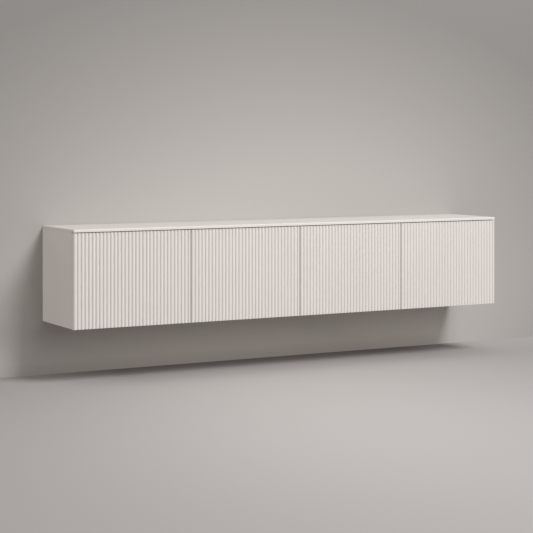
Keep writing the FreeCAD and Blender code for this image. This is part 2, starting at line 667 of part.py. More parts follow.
def lip_top():
    return RAIL_LEG_UP + RAIL_SHEET + RAIL_LIP


def hanger_limits(number):
    """X range of a hanger's housing: it sits on the board that also carries the bay's hinges."""
    low, high = bay_limits(number)
    return (low, low + HANGER_WIDE) if hinge_side(number) > 0 else (high - HANGER_WIDE, high)


def hanger_housing(number):
    """A hollow box in the bay's upper rear corner, open at the back where its hook comes out."""
    x = hanger_limits(number)
    y = (Y_BACK_FACE - HANGER_DEEP, Y_BACK_FACE)
    z = (Z_CEILING - HANGER_TALL, Z_CEILING)
    inner = box((x[0] + HANGER_WALL, x[1] - HANGER_WALL), (y[0] + HANGER_WALL, y[1]),
                (z[0] + HANGER_WALL, z[1] - HANGER_WALL))
    return cut_all(board(x, y, z), [inner] + hanger_screws_at(number, FIT))


def hook_bar(number):
    """Limits of the hook's straight bar."""
    middle = sum(hanger_limits(number)) / 2
    front = Y_BACK_FACE - HANGER_DEEP + 2 * HANGER_WALL
    rear = -RAIL_SHEET - FIT
    x = (middle - HOOK_THICK / 2, middle + HOOK_THICK / 2)
    return x, (front, rear), (lip_top(), lip_top() + HOOK_BAR_TALL)


def hanger_hook(number):
    """A steel hook: a bar on the rail's lip, a tip behind the lip, and a threaded lug in the housing."""
    x, y, z = hook_bar(number)
    tip = box(x, (y[1] - HOOK_TIP_THICK, y[1]), (z[0] - HOOK_TIP_DROP, z[0]))
    lug = box((x[0] - HOOK_THICK / 2, x[1] + HOOK_THICK / 2), (y[0], y[0] + HOOK_LUG_DEEP),
              (z[1] - HOOK_LUG_DROP, z[1]))
    hook = box(x, y, z).multiFuse([tip, lug]).removeSplitter()
    return cut_all(hook, hanger_screws_at(number, FIT))


def hanger_screws_at(number, extra):
    """The height screw and the depth screw, which enter a housing from the bay."""
    x, _, z = hook_bar(number)
    front = Y_BACK_FACE - HANGER_DEEP - extra
    low = z[1] - HOOK_LUG_DROP + HANGER_SCREW_R + HANGER_SCREW_EDGE
    return [rod(HANGER_SCREW_R + extra, (sum(x) / 2, front, level), (0, 1, 0), HANGER_SCREW_LONG + 2 * extra)
            for level in (low, low + HANGER_SCREW_SPACING)]


def hook_slot(number):
    """The cut in the back panel that a hook passes, tall enough for its tip."""
    x, _, z = hook_bar(number)
    return box((x[0] - HOOK_SLOT_GAP, x[1] + HOOK_SLOT_GAP),
               (Y_BACK_FACE - THROUGH, Y_BACK_REAR + THROUGH),
               (z[0] - HOOK_TIP_DROP - HOOK_SLOT_GAP, z[1] + HOOK_SLOT_GAP))


# ---- Carcass connectors

def turned_box(corner, first, second, third):
    """A box from a corner and its three edges as vectors."""
    corners = (corner, corner + first, corner + first + second, corner + second)
    return Part.Face(Part.makePolygon(corners + corners[:1])).extrude(third)


def cam(centre, axis, bolt_axis):
    """A cam lock: a disc sunk into a board, slotted for its bolt, with a driver slot in its face."""
    solid = rod(CAM_R - FIT, centre, axis, CAM_DEEP)
    face = FreeCAD.Vector(*centre)
    inward = FreeCAD.Vector(*axis)
    toward = FreeCAD.Vector(*bolt_axis)
    side = inward.cross(toward)
    bolt_corner = face + inward * (CAM_DEEP - CAM_SLOT - CAM_FLOOR) - side * (CAM_SLOT / 2)
    bolt_slot = turned_box(bolt_corner, side * CAM_SLOT, inward * CAM_SLOT, toward * (CAM_R + THROUGH))
    driver_corner = face - toward * (CAM_DRIVER_LONG / 2) - side * (CAM_DRIVER_WIDE / 2) - inward * THROUGH
    driver_slot = turned_box(driver_corner, side * CAM_DRIVER_WIDE, toward * CAM_DRIVER_LONG,
                             inward * (THROUGH + CAM_DRIVER_DEEP))
    return cut_all(solid, [bolt_slot, driver_slot])


def connector(cam_centre, cam_axis, bolt_axis):
    """One cam, its bolt, the holes for both in the cam's board, and the bolt's hole in the next board."""
    inward = FreeCAD.Vector(*cam_axis)
    toward = FreeCAD.Vector(*bolt_axis)
    depth = CAM_DEEP - CAM_SLOT / 2 - CAM_FLOOR
    start = FreeCAD.Vector(*cam_centre) + inward * depth + toward * BOLT_HEAD_GAP
    free = CAM_INSET - BOLT_HEAD_GAP
    bolt = Part.makeCylinder(BOLT_R, free + BOLT_BITE, start, toward)
    bolt_hole = Part.makeCylinder(BOLT_HOLE_R, free, start, toward)
    bite = Part.makeCylinder(BOLT_R + FIT, BOLT_BITE + FIT, start + toward * free, toward)
    seat = Part.makeCylinder(CAM_R, CAM_DEEP, FreeCAD.Vector(*cam_centre), inward)
    return cam(cam_centre, cam_axis, bolt_axis), bolt, (bolt_hole, seat), bite


def cam_rows():
    return Y_CARCASS + CAM_SETBACK, Y_BACK_FACE - CAM_SETBACK


def carcass_connectors():
    """All cams and bolts, and for each board the tools that cut their holes."""
    cams, bolts = [], []
    cuts = {"top": [], "bottom": [], "left": [], "right": []}
    for index in range(1, BAYS):
        cuts[index] = []

    def add(parts, own, other):
        cams.append(parts[0])
        bolts.append(parts[1])
        cuts[own] += parts[2]
        cuts[other].append(parts[3])

    for y in cam_rows():
        for side, name in ((-1, "left"), (1, "right")):
            x = side * (X_RIGHT - SIDE_THICK - CAM_INSET)
            add(connector((x, y, Z_COVER), (0, 0, -1), (side, 0, 0)), "top", name)
            add(connector((x, y, Z_BOTTOM), (0, 0, 1), (side, 0, 0)), "bottom", name)
        for index in range(1, BAYS):
            inward = hinge_side(index)      # a partition's cams go into the face that carries no hinges
            face = partition_middle(index) - inward * PARTITION_THICK / 2
            high, low = (face, y, Z_CEILING - CAM_INSET), (face, y, Z_FLOOR + CAM_INSET)
            add(connector(high, (inward, 0, 0), (0, 0, 1)), index, "top")
            add(connector(low, (inward, 0, 0), (0, 0, -1)), index, "bottom")
    return cams, bolts, cuts


def cover_screw_places():
    places = []
    for number in range(1, BAYS + 1):
        low, high = bay_limits(number)
        for y in (Y_CARCASS + COVER_SCREW_INSET, -COVER_SCREW_INSET):
            places.append(((low + high) / 2, y))
    return places


def cover_screw(x, y, extra):
    """A screw from the bay up into the cover top, its head sunk in the carcass top."""
    shank = rod(COVER_SCREW_R + extra, (x, y, Z_CEILING), (0, 0, 1), TOP_THICK + COVER_SCREW_BITE + extra)
    head = rod(COVER_SCREW_HEAD_R + extra, (x, y, Z_CEILING), (0, 0, 1), COVER_SCREW_HEAD)
    return shank.fuse(head).removeSplitter()


# ---- Boards of the carcass

def front_numbers():
    return range(1, BAYS + 1)


def holes_of_bay_boards():
    """Shelf pin and hinge screw holes of every bay. Each board keeps those that meet it."""
    holes = []
    for number in front_numbers():
        holes += pin_holes(number)
        holes += plate_screw_holes(number)
    return holes


def keep_touching(solid, tools):
    limits = solid.BoundBox
    return [tool for tool in tools if limits.intersect(tool.BoundBox)]


def side_panel(side, cuts, bay_holes):
    x = sorted((side * X_RIGHT, side * (X_RIGHT - SIDE_THICK)))
    panel = board(x, (Y_CARCASS, 0), (Z_BOTTOM, Z_COVER))
    return cut_all(panel, cuts + keep_touching(panel, bay_holes))


def partition(index, cuts, bay_holes):
    middle = partition_middle(index)
    x = (middle - PARTITION_THICK / 2, middle + PARTITION_THICK / 2)
    panel = board(x, (Y_CARCASS, Y_BACK_FACE), (Z_FLOOR, Z_CEILING))
    return cut_all(panel, cuts + keep_touching(panel, bay_holes))


def inner_x():
    return X_LEFT + SIDE_THICK, X_RIGHT - SIDE_THICK


def carcass_top(cuts):
    screws = [cover_screw(x, y, FIT) for x, y in cover_screw_places()]
    return cut_all(board(inner_x(), (Y_CARCASS, 0), (Z_CEILING, Z_COVER)), cuts + screws)


def bottom_panel(cuts):
    return cut_all(board(inner_x(), (Y_CARCASS, Y_BACK_REAR), (Z_BOTTOM, Z_FLOOR)), cuts)


def cover_top():
    cover = board((X_LEFT, X_RIGHT), (Y_FRONT, 0), (Z_COVER, Z_TOP))
    return cut_all(cover, [cover_screw(x, y, FIT) for x, y in cover_screw_places()])


def back_panel():
    panel = board(inner_x(), (Y_BACK_FACE, Y_BACK_REAR), (Z_FLOOR, Z_CEILING))
    tools = []
    for number in front_numbers():
        x, z = outlet_middle(number)
        tools.append(rod(OUTLET_R, (x, Y_BACK_FACE - THROUGH, z), (0, 1, 0), BACK_THICK + 2 * THROUGH))
        tools.append(hook_slot(number))
    return cut_all(panel, tools)


# ---- Everything, one STEP file to a node

def build_carcass():
    cams, bolts, cuts = carcass_connectors()
    bay_holes = holes_of_bay_boards()
    save("cover_top", [cover_top()])
    save("carcass_top", [carcass_top(cuts["top"])])
    save("bottom_panel", [bottom_panel(cuts["bottom"])])
    save("left_side_panel", [side_panel(-1, cuts["left"], bay_holes)])
    save("right_side_panel", [side_panel(1, cuts["right"], bay_holes)])
    for index in range(1, BAYS):
        save("partition_%d" % index, [partition(index, cuts[index], bay_holes)])
    save("back_panel", [back_panel()])
    save("cam_locks", cams)
    save("connector_bolts", bolts)
    save("cover_screws", [cover_screw(x, y, 0) for x, y in cover_screw_places()])
    save("cable_grommets", [grommet(number) for number in front_numbers()])


def build_hanging():
    save("wall_rail", [wall_rail()])
    save("hanger_housings", [hanger_housing(number) for number in front_numbers()])
    save("hanger_hooks", [hanger_hook(number) for number in front_numbers()])
    save("hanger_screws", [screw for number in front_numbers() for screw in hanger_screws_at(number, 0)])


def build_fittings():
    """What the fronts and shelves work with on the carcass."""
    arms, plates, pins, screws = [], [], [], []
    for number in front_numbers():
        arms += hinge_set(hinge_arm(number), number)
        plates += hinge_set(mounting_plate(number), number)
        pins += hinge_set(Part.makeCompound(arm_pins_at(0)), number)
        screws += hinge_set(plate_screws(number), number)
        screws += hinge_set(arm_screw(number), number)
    save("hinge_arms", arms)
    save("mounting_plates", plates)
    save("hinge_arm_pins", pins)
    save("hinge_screws", screws)
    save("shelf_pins", [pin for number in front_numbers() for pin in shelf_pins(number)])
    save("latch_housings", [latch_housing(number) for number in front_numbers()])
    save("door_bumpers", [disc for number in front_numbers() for disc in bumpers(number)])


def build_bay(number):
    """A bay's shelf, its front, and what moves with the front."""
    save("shelf_%d" % number, [shelf(number)])
    save("door_%d" % number, [door(number)])
    save("hinge_cups_%d" % number, hinge_set(hinge_cup(), number))
    save("hinge_cup_pins_%d" % number, hinge_set(Part.makeCompound(cup_pins_at(0)), number))
    save("cup_screws_%d" % number, hinge_set(cup_screws(), number))
    save("strike_plate_%d" % number, [strike_plate(number)])
    save("outer_links_%d" % number, hinge_set(outer_link(), number))
    save("inner_links_%d" % number, hinge_set(inner_link(), number))
    save("latch_plunger_%d" % number, [latch_plunger(number)])


os.makedirs("parts", exist_ok=True)
build_carcass()
build_hanging()
build_fittings()
for front in front_numbers():
    build_bay(front)
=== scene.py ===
"""Wall-hung media console with four fluted fronts.

The boards, fronts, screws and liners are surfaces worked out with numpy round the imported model. Lengths are
in metres, x runs along the wall, y into it and z upwards, with the rail's screw line at z = 0.
"""

import math

import bmesh
import bpy
import numpy as np
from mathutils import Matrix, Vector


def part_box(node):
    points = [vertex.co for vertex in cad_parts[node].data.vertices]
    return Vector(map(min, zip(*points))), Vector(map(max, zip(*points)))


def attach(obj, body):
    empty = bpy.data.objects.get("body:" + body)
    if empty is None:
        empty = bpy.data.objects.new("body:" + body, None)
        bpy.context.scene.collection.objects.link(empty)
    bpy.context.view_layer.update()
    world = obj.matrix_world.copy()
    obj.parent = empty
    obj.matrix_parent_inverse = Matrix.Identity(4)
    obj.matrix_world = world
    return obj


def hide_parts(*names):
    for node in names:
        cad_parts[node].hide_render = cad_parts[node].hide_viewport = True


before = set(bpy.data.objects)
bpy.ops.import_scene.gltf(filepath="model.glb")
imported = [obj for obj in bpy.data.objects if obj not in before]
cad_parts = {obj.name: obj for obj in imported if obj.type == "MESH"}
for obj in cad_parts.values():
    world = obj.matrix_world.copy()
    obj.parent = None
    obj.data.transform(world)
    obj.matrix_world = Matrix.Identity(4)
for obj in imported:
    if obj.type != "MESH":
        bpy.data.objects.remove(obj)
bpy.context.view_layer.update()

bl_info = {
    "name": "Floating media console",
    "version": (1, 0, 0),
    "blender": (4, 5, 0),
    "location": "3D View > Sidebar > Console",
    "description": "Fluted fronts, lacquered boards, fittings and stage of a wall-hung media console",
    "category": "Object",
}

# ---- Places of the fittings, as the carcass is drilled for them

FRONTS = (1, 2, 3, 4)
HINGE_INSET = 0.072  # from a front's top or bottom edge to a hinge's middle
CUP_MIDDLE = 0.0215  # from the front's hinge edge to a cup's centre
CUP_RADIUS = 0.0175
CUP_DEPTH = 0.01203
CUP_SCREW_LINE = 0.031  # from the front's hinge edge to the cup's screws
CUP_SCREW_HALF = 0.0225  # from a hinge's middle to its cup screws
CUP_SCREW_DEPTH = 0.0101
CUP_SCREW_HOLE = 0.00193
PIN_INSET = 0.037  # of the pin rows from the carcass front and from the back panel
PIN_PITCH = 0.032
PIN_STEPS = (-1, 0, 1)
PIN_HOLE = 0.00253
PIN_DEPTH = 0.0085
PLATE_SCREW_HOLE = 0.00303
PLATE_SCREW_DEPTH = 0.00806
PLATE_SCREW_HALF = 0.016  # from a hinge's middle to its plate screws
BAND_THICK, BAND_JOINT = 0.001, 0.00009  # of the band on a board's edge, and half its joint
CAM_INSET = 0.024
CAM_SETBACK = 0.06
CAM_RADIUS = 0.0075
CAM_DEPTH = 0.0125
COVER_SCREW_INSET = 0.07
COVER_HEAD_HOLE = 0.00403
COVER_HEAD_DEPTH = 0.0024
OUTLET_RAISE = 0.056  # from the bay's floor to the outlet's centre
OUTLET_RADIUS = 0.030
HANGER_WIDE = 0.018
HOOK_SEAT = 0.024  # height of the rail's lip, on which the hooks sit
HOOK_BAR_TALL = 0.010
HOOK_TIP_DROP = 0.010
HOOK_THICK = 0.004
SLOT_GAP = 0.0015  # round a hanger's hook where it passes the back panel
RIM_BREAK = 0.0003  # small slope round every drilled hole
CUP_SCREW_RIM = 0.0002
COLLAR_SHARE, COLLAR_LEAST = 1.12, 0.0006  # half side of the square that a hole lies in, from its radius
QUARTER = math.pi / 2  # turn
GOLDEN_TURN = 2.39996  # from one screw's cross to the next
CREASE = math.radians(35)  # faces that meet at more than this keep a sharp edge
MERGE_WITHIN = 2e-6  # points nearer than this become one
SAME_POINT = 1e-7
SLACK = 1e-6  # allowance where a place lies on the line that bounds it
SAME_LEVEL = 1e-5  # how near two places on a solid count as level
FLAT_FROM = 0.999  # a normal's part along its axis, on a flat side
DECIMALS = 7


def linear(red, green, blue):
    """Linear light of a colour given in screen values from 0 to 255."""
    share = np.array((red, green, blue), float) / 255
    return tuple(np.where(share <= 0.04045, share / 12.92, ((share + 0.055) / 1.055) ** 2.4).tolist())


def amount(name, description, default, **limits):
    return bpy.props.FloatProperty(name=name, description=description, default=default, min=0.0, **limits)


def length(name, description, default):
    return amount(name, description, default, unit="LENGTH", precision=5)


def power(name, description, default):
    return amount(name, description, default, unit="POWER")


def colour(name, description, default):
    return bpy.props.FloatVectorProperty(name=name, description=description, default=default, subtype="COLOR",
                                         min=0.0, max=1.0)


def count(name, description, default, low):
    return bpy.props.IntProperty(name=name, description=description, default=default, min=low)


class ConsoleSizes(bpy.types.PropertyGroup):
    """Sizes that shape the visible pieces"""

    ribs: count("Ribs", "Ribs on one front", 33, 1)
    flute_depth: length("Flute depth", "From a crest to the floor of a groove", 0.0057)
    valley_radius: length("Groove radius", "Radius of a groove's floor", 0.0018)
    trim: length("Trim", "How far a front's side edge lies past the middle of a groove", 0.0011)
    crest_steps: count("Crest steps", "Facets across one crest", 14, 4)
    valley_steps: count("Groove steps", "Facets across half a groove", 4, 2)
    front_edge: length("Front edge", "Rounding of a front's upright edges", 0.0010)
    front_end: length("Front end", "Rounding of a front's top and bottom edges", 0.0004)
    cover_edge: length("Cover's edge", "Rounding of the cover board's upper edges", 0.0030)
    cover_under_edge: length("Cover's lower edge", "Rounding of the cover board's lower edges", 0.0004)
    side_edge: length("Side panel's edge", "Rounding of the side panels", 0.0017)
    board_edge: length("Board edge", "Rounding of the banded boards inside", 0.0006)
    edge_steps: count("Edge steps", "Facets round an edge", 4, 1)
    hole_steps: count("Hole steps", "Facets on a quarter of a large hole", 12, 2)
    small_hole_steps: count("Small hole steps", "Facets on a quarter of a small hole", 5, 2)
    liner_steps: count("Liner steps", "Facets round a cable liner", 56, 12)


class ConsoleColours(bpy.types.PropertyGroup):
    """Colours of the finishes"""

    lacquer: colour("Lacquer", "Satin lacquer of the fronts, the cover and the sides", linear(227, 223, 219))
    melamine: colour("Melamine", "Faced boards of the carcass and the shelves", linear(224, 219, 211))
    edge_band: colour("Edge band", "Band along the boards' front edges", linear(227, 222, 214))
    back: colour("Back", "Foil on the back panel", linear(216, 211, 203))
    nickel: colour("Nickel", "Plated hinges and pins", linear(206, 202, 195))
    zinc: colour("Zinc", "Plated screws and cams", linear(190, 194, 198))
    galvanised: colour("Galvanised", "Sheet of the wall rail", linear(182, 188, 191))
    white_plastic: colour("White plastic", "Hanger boxes and cable liners", linear(230, 227, 221))
    grey_plastic: colour("Grey plastic", "Push latches", linear(128, 128, 127))
    rubber: colour("Bumper", "Clear soft discs behind the fronts", linear(214, 214, 210))
    floor: colour("Floor", "The floor at its palest", linear(192, 188, 187))
    wall: colour("Wall", "The wall at its palest", linear(204, 200, 197))


class ConsoleStage(bpy.types.PropertyGroup):
    """Room, lamps and camera"""

    floor_drop: length("Floor drop", "How far the floor lies below the rail's screw line", 0.53)
    key_power: power("Key power", "Large soft lamp above and in front, from the right", 459.0)
    front_power: power("Front power", "Wide soft lamp low in front", 21.6)
    left_power: power("Left power", "Soft lamp beyond the left end", 19.1)
    sky: amount("Surroundings", "Strength of the even light from all round", 0.34)
    lens: amount("Lens", "Focal length on a sensor 36 mm wide, in millimetres", 103.15)


# ---- Sections and shells

def arc_run(centre, radius, start, end, steps, outward=1):
    """Points centre + radius·(cos a, sin a), a in even steps; the normals are ±(cos a, sin a)."""
    angle = np.linspace(start, end, steps + 1)
    spoke = np.stack([np.cos(angle), np.sin(angle)], axis=1)
    return np.array(centre) + radius * spoke, outward * spoke


def flat_run(fixed_axis, fixed, along, outward):
    """Points of a straight run: one coordinate stays fixed, the other takes the values in along."""
    points = np.full((len(along), 2), float(fixed))
    points[:, 1 - fixed_axis] = along
    normals = np.zeros_like(points)
    normals[:, fixed_axis] = outward
    return points, normals


def closed(runs):
    """Points and outward normals of runs that follow on all the way round, without double points."""
    points, normals = [np.concatenate(part) for part in zip(*runs)]
    apart = np.linalg.norm(points - np.roll(points, 1, axis=0), axis=1) > SAME_POINT
    return points[apart], normals[apart]


def rounded_section(low, high, radii, steps, lines):
    """A rectangle with round corners, anticlockwise. radii are those at the lowest and the highest v. lines
    has the places of extra points on the sides that face -v, +u, +v and -u."""
    (u0, v0), (u1, v1) = low, high
    under, over = radii
    sides = ((1, v0, lines[0], -1), (0, u1, lines[1], 1),
             (1, v1, lines[2][::-1], 1), (0, u0, lines[3][::-1], -1))
    corners = ((u1 - under, v0 + under, under), (u1 - over, v1 - over, over), (u0 + over, v1 - over, over),
               (u0 + under, v0 + under, under))
    runs = []
    for turn, (side, (u, v, radius)) in enumerate(zip(sides, corners), -1):
        runs += [flat_run(*side), arc_run((u, v), radius, turn * QUARTER, (turn + 1) * QUARTER, steps)]
    return closed(runs)


def fluted_section(low, high, sizes, lines):
    """Section of a front in plan: arcs that meet tangentially, wide crests and narrower grooves.

    A crest turns from -swing to swing and a groove back, where swing is 2·atan(depth / half pitch). Both side
    edges cut a groove just past its middle, with a small circle that touches the groove's."""
    (left, front), (right, back) = low, high
    first, last = left - sizes.trim, right + sizes.trim  # middles of the two cut grooves
    pitch = (last - first) / sizes.ribs
    swing = 2 * math.atan(sizes.flute_depth / (pitch / 2))
    groove_r, edge = sizes.valley_radius, sizes.front_edge
    crest_r = pitch / 2 / math.sin(swing) - groove_r
    floor = front + sizes.flute_depth
    touch = math.asin((edge + sizes.trim) / (groove_r + edge))
    edge_middle = floor - groove_r + (groove_r + edge) * math.cos(touch)

    def groove(x, start, end):
        """Part of a groove's floor round x, from one turn of the section to another."""
        steps = max(2, round(sizes.valley_steps * abs(end - start) / swing))
        return arc_run((x, floor - groove_r), groove_r, QUARTER - start, QUARTER - end, steps, -1)

    runs = [arc_run((left + edge, edge_middle), edge, 2 * QUARTER, 3 * QUARTER - touch, sizes.edge_steps),
            groove(first, touch, swing)]
    for rib in range(sizes.ribs):
        middle = first + (rib + 0.5) * pitch
        runs.append(arc_run((middle, front + crest_r), crest_r, -QUARTER - swing, -QUARTER + swing,
                            sizes.crest_steps))
        if rib < sizes.ribs - 1:
            runs.append(groove(middle + pitch / 2, -swing, swing))
    runs += [groove(last, -swing, -touch),
             arc_run((right - edge, edge_middle), edge, -QUARTER + touch, 0, sizes.edge_steps),
             arc_run((right - edge, back - edge), edge, 0, QUARTER, sizes.edge_steps),
             flat_run(1, back, lines[::-1], 1),
             arc_run((left + edge, back - edge), edge, QUARTER, 2 * QUARTER, sizes.edge_steps)]
    return closed(runs)


class Shell:
    """Points and faces of one piece, gathered part by part and merged where the parts meet."""

    def __init__(self, order=(0, 1, 2)):
        self.order = order  # which of x, y and z the section's u and v and the run's w are
        self.points = []
        self.faces = []
        self.total = 0

    def add(self, points):
        """Keeps points given as (..., 3) in u, v, w, and returns their numbers in the same layout."""
        turned = np.empty_like(points)
        turned[..., self.order] = points
        start = self.total
        self.points.append(turned.reshape(-1, 3))
        self.total += turned[..., 0].size
        return np.arange(start, self.total).reshape(turned.shape[:-1])

    def add_faces(self, *corners):
        self.faces += np.stack([c.ravel() for c in corners], axis=1).tolist()

    def loft(self, loops):
        """Quads between neighbouring closed loops, each row of the array being one loop."""
        a, b = loops[:-1], loops[1:]
        self.add_faces(a, np.roll(a, -1, axis=1), np.roll(b, -1, axis=1), b)

    def cap(self, *loops):
        self.faces += [loop.tolist() for loop in loops]

    def mesh(self, name):
        """The merged mesh with its faces turned outwards."""
        mesh = bpy.data.meshes.new(name)
        mesh.from_pydata(np.concatenate(self.points).tolist(), [], self.faces)
        work = bmesh.new()
        work.from_mesh(mesh)
        bmesh.ops.remove_doubles(work, verts=work.verts, dist=MERGE_WITHIN)
        bmesh.ops.recalc_face_normals(work, faces=work.faces)
        work.to_mesh(mesh)
        work.free()
        return mesh


class Cut:
    """A hole or slot in a flat side of a carried section.

    side is (section axis, -1 or 1), along is the place on that side, and at the place along the run. A hole
    has a radius; a slot has half its size both ways. A through cut has no floor."""

    def __init__(self, side, along, at, radius=0.0, depth=0.0, half=None, through=False, steps=None,
                 rim=RIM_BREAK):
        self.side, self.along, self.at = side, along, at
        self.radius, self.depth, self.through, self.rim = radius, depth, through, rim
        self.round = half is None
        if self.round:
            reach = COLLAR_SHARE * radius + COLLAR_LEAST
            half = (reach, reach)
            steps = steps or sizes_now().small_hole_steps
            lines = np.tan(np.linspace(-QUARTER / 2, QUARTER / 2, steps + 1))
        else:
            lines = np.array((-1.0, 1.0))
        self.half = half
        self.along_lines = along + half[0] * lines
        self.at_lines = at + half[1] * lines


def merged_lines(groups):
    """All places in rising order, without doubles."""
    return np.unique(np.round(np.concatenate([(), *groups]), DECIMALS))


def lines_on(cuts, axis, outward):
    """Where one flat side needs lines across it: for its cuts, and for through cuts opposite."""
    return merged_lines([cut.along_lines for cut in cuts if cut.side[0] == axis
                         and (cut.side[1] == outward or cut.through)])


def carried(shell, section, low, high, edge, steps, cuts):
    """Carries a section from low to high along the run, with round ends, flat caps and cuts.

    At both ends a point rises by edge·(1 - cos a) and lies edge·(1 - sin a) inwards, a from 0 to a quarter
    turn. edge is one radius, or one for each point. Cells under a cut are left out, and its own surfaces fill
    them."""
    points, normals = section
    across = len(points)
    turn = np.linspace(0, QUARTER, steps + 1)[:, None]
    radius = np.broadcast_to(edge, across)
    rise, inset = radius * (1 - np.cos(turn)), radius * (1 - np.sin(turn))
    middle = merged_lines([cut.at_lines for cut in cuts])
    level = np.broadcast_to(middle[:, None], (len(middle), across))
    heights = np.concatenate([low + rise, level, (high - rise)[::-1]])
    insets = np.concatenate([inset, np.zeros_like(level), inset[::-1]])
    rows = points[None] - normals[None] * insets[..., None]
    grid = shell.add(np.concatenate([rows, heights[..., None]], axis=2))
    stations = heights.mean(axis=1)
    open_cells = np.ones((len(stations) - 1, across), bool)
    for cut in cuts:
        sides = (cut.side, (cut.side[0], -cut.side[1])) if cut.through else (cut.side,)
        for side in sides:
            cut_side(shell, cut, side, section, stations, grid, open_cells)
    right = np.roll(grid, -1, axis=1)
    quads = [grid[:-1], right[:-1], right[1:], grid[1:]]
    shell.add_faces(*[corner[open_cells] for corner in quads])
    shell.cap(grid[0][::-1], grid[-1])


def cut_side(shell, cut, side, section, stations, grid, open_cells):
    """Opens the cells under a cut on one side, and builds its rim, wall and floor inwards from there."""
    points, normals = section
    axis, outward = side
    flat = normals[:, axis] * outward > FLAT_FROM
    level = points[flat, axis].mean()
    columns = np.flatnonzero(flat & (np.abs(points[:, 1 - axis] - cut.along) < cut.half[0] + SLACK))
    rows = np.flatnonzero(np.abs(stations - cut.at) < cut.half[1] + SLACK)
    open_cells[rows[0]:rows[-1], columns[0]:columns[-1]] = False
    short, tall = np.ones(len(columns) - 1, int), np.ones(len(rows) - 1, int)
    around = np.concatenate([columns[:-1], columns[-1] * tall, columns[:0:-1], columns[0] * tall])
    up = np.concatenate([rows[0] * short, rows[:-1], rows[-1] * short, rows[:0:-1]])
    corner_points = np.stack([points[around, 1 - axis], stations[up]], axis=1)
    place = np.array((cut.along, cut.at))
    loops = [grid[up, around]]

    def ring(flat_points, depth):
        solid = np.zeros((len(flat_points), 3))
        solid[:, axis] = level - outward * depth
        solid[:, 1 - axis] = flat_points[:, 0]
        solid[:, 2] = flat_points[:, 1]
        return shell.add(solid)

    if cut.round:
        spoke = corner_points - place
        spoke /= np.linalg.norm(spoke, axis=1)[:, None]
        loops.append(ring(place + (cut.radius + cut.rim) * spoke, 0))
        loops.append(ring(place + cut.radius * spoke, cut.rim))
        wall = place + cut.radius * spoke
    else:
        wall = corner_points
    end = cut.depth / 2 if cut.through else cut.depth
    loops.append(ring(wall, end))
    shell.loft(np.array(loops))
    if not cut.through:
        shell.cap(loops[-1])


# ---- Pieces

def sizes_now():
    return bpy.context.scene.console_sizes


def colours_now():
    return bpy.context.scene.console_colours


def stage_now():
    return bpy.context.scene.console_stage


def placed(name, data):
    """A new object in the scene."""
    made = bpy.data.objects.new(name, data)
    bpy.context.scene.collection.objects.link(made)
    return made


def shown_piece(name, shell, body, slot, node, finish=None):
    """A new object from a shell, smooth but for its creases, that rides a body and stands for a CAD node. Its
    material is the slot's own, or the one that finish names."""
    mesh = shell.mesh(name)
    mesh.polygons.foreach_set("use_smooth", np.ones(len(mesh.polygons), bool))
    mesh.set_sharp_from_angle(angle=CREASE)
    mesh.materials.append(finish_of(finish or slot))
    piece = placed(name, mesh)
    piece.modifiers.new("Flat sides stay flat", "WEIGHTED_NORMAL").keep_sharp = True
    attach(piece, body)
    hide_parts(node)


def node_box(node):
    """Lowest and highest corner of a CAD node."""
    return np.array(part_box(node))


def board(name, node, run, edge, slot, cuts=(), finish=None):
    """A board with all its edges rounded, in place of a node: its section is carried along axis number run.
    edge is one radius, or a pair for the lower and the upper edges, between which the upright ones change."""
    sizes = sizes_now()
    order = ([1, 2, 0], [2, 0, 1], [0, 1, 2])[run]
    low, high = [corner[order] for corner in node_box(node)]
    lines = [lines_on(cuts, *side) for side in ((1, -1), (0, 1), (1, 1), (0, -1))]
    under, over = edge if isinstance(edge, tuple) else (edge, edge)
    section = rounded_section(low[:2], high[:2], (under, over), sizes.edge_steps, lines)
    share = (section[0][:, 1] - low[1]) / (high[1] - low[1])
    shell = Shell(order)
    carried(shell, section, low[2], high[2], under + (over - under) * share, sizes.edge_steps, cuts)
    shown_piece(name, shell, "cabinet", slot, node, finish)


def hinge_side(number):
    """+1 where the front hangs on its left edge, -1 where it hangs on its right edge."""
    return 1 if number <= len(FRONTS) // 2 else -1


def inset_pair(node, axis, inset):
    """The two places that lie an inset inside a node's ends along one axis."""
    low, high = node_box(node)
    return low[axis] + inset, high[axis] - inset


def hinge_levels():
    return inset_pair("door_1", 2, HINGE_INSET)


def bay_limits(number):
    """The two inner faces of a bay."""
    boards = ["left_side_panel", "partition_1", "partition_2", "partition_3", "right_side_panel"]
    return node_box(boards[number - 1])[1][0], node_box(boards[number])[0][0]


def fluted_front(number):
    """A fluted front with the bores of its hinge cups and their screws in its back."""
    sizes = sizes_now()
    node = "door_%d" % number
    low, high = node_box(node)
    side = hinge_side(number)
    edge_x = low[0] if side > 0 else high[0]
    back = (1, 1)
    cup_x, screw_x = edge_x + side * CUP_MIDDLE, edge_x + side * CUP_SCREW_LINE
    cuts = []
    for level in hinge_levels():
        cuts.append(Cut(back, cup_x, level, CUP_RADIUS, CUP_DEPTH, steps=sizes.hole_steps))
        cuts += [Cut(back, screw_x, level + half, CUP_SCREW_HOLE, CUP_SCREW_DEPTH, rim=CUP_SCREW_RIM)
                 for half in (-CUP_SCREW_HALF, CUP_SCREW_HALF)]
    section = fluted_section(low[:2], high[:2], sizes, lines_on(cuts, *back))
    shell = Shell()
    carried(shell, section, low[2], high[2], sizes.front_end, sizes.edge_steps, cuts)
    shown_piece("front_%d" % number, shell, "door_leaf_%d" % number, "lacquer", node)


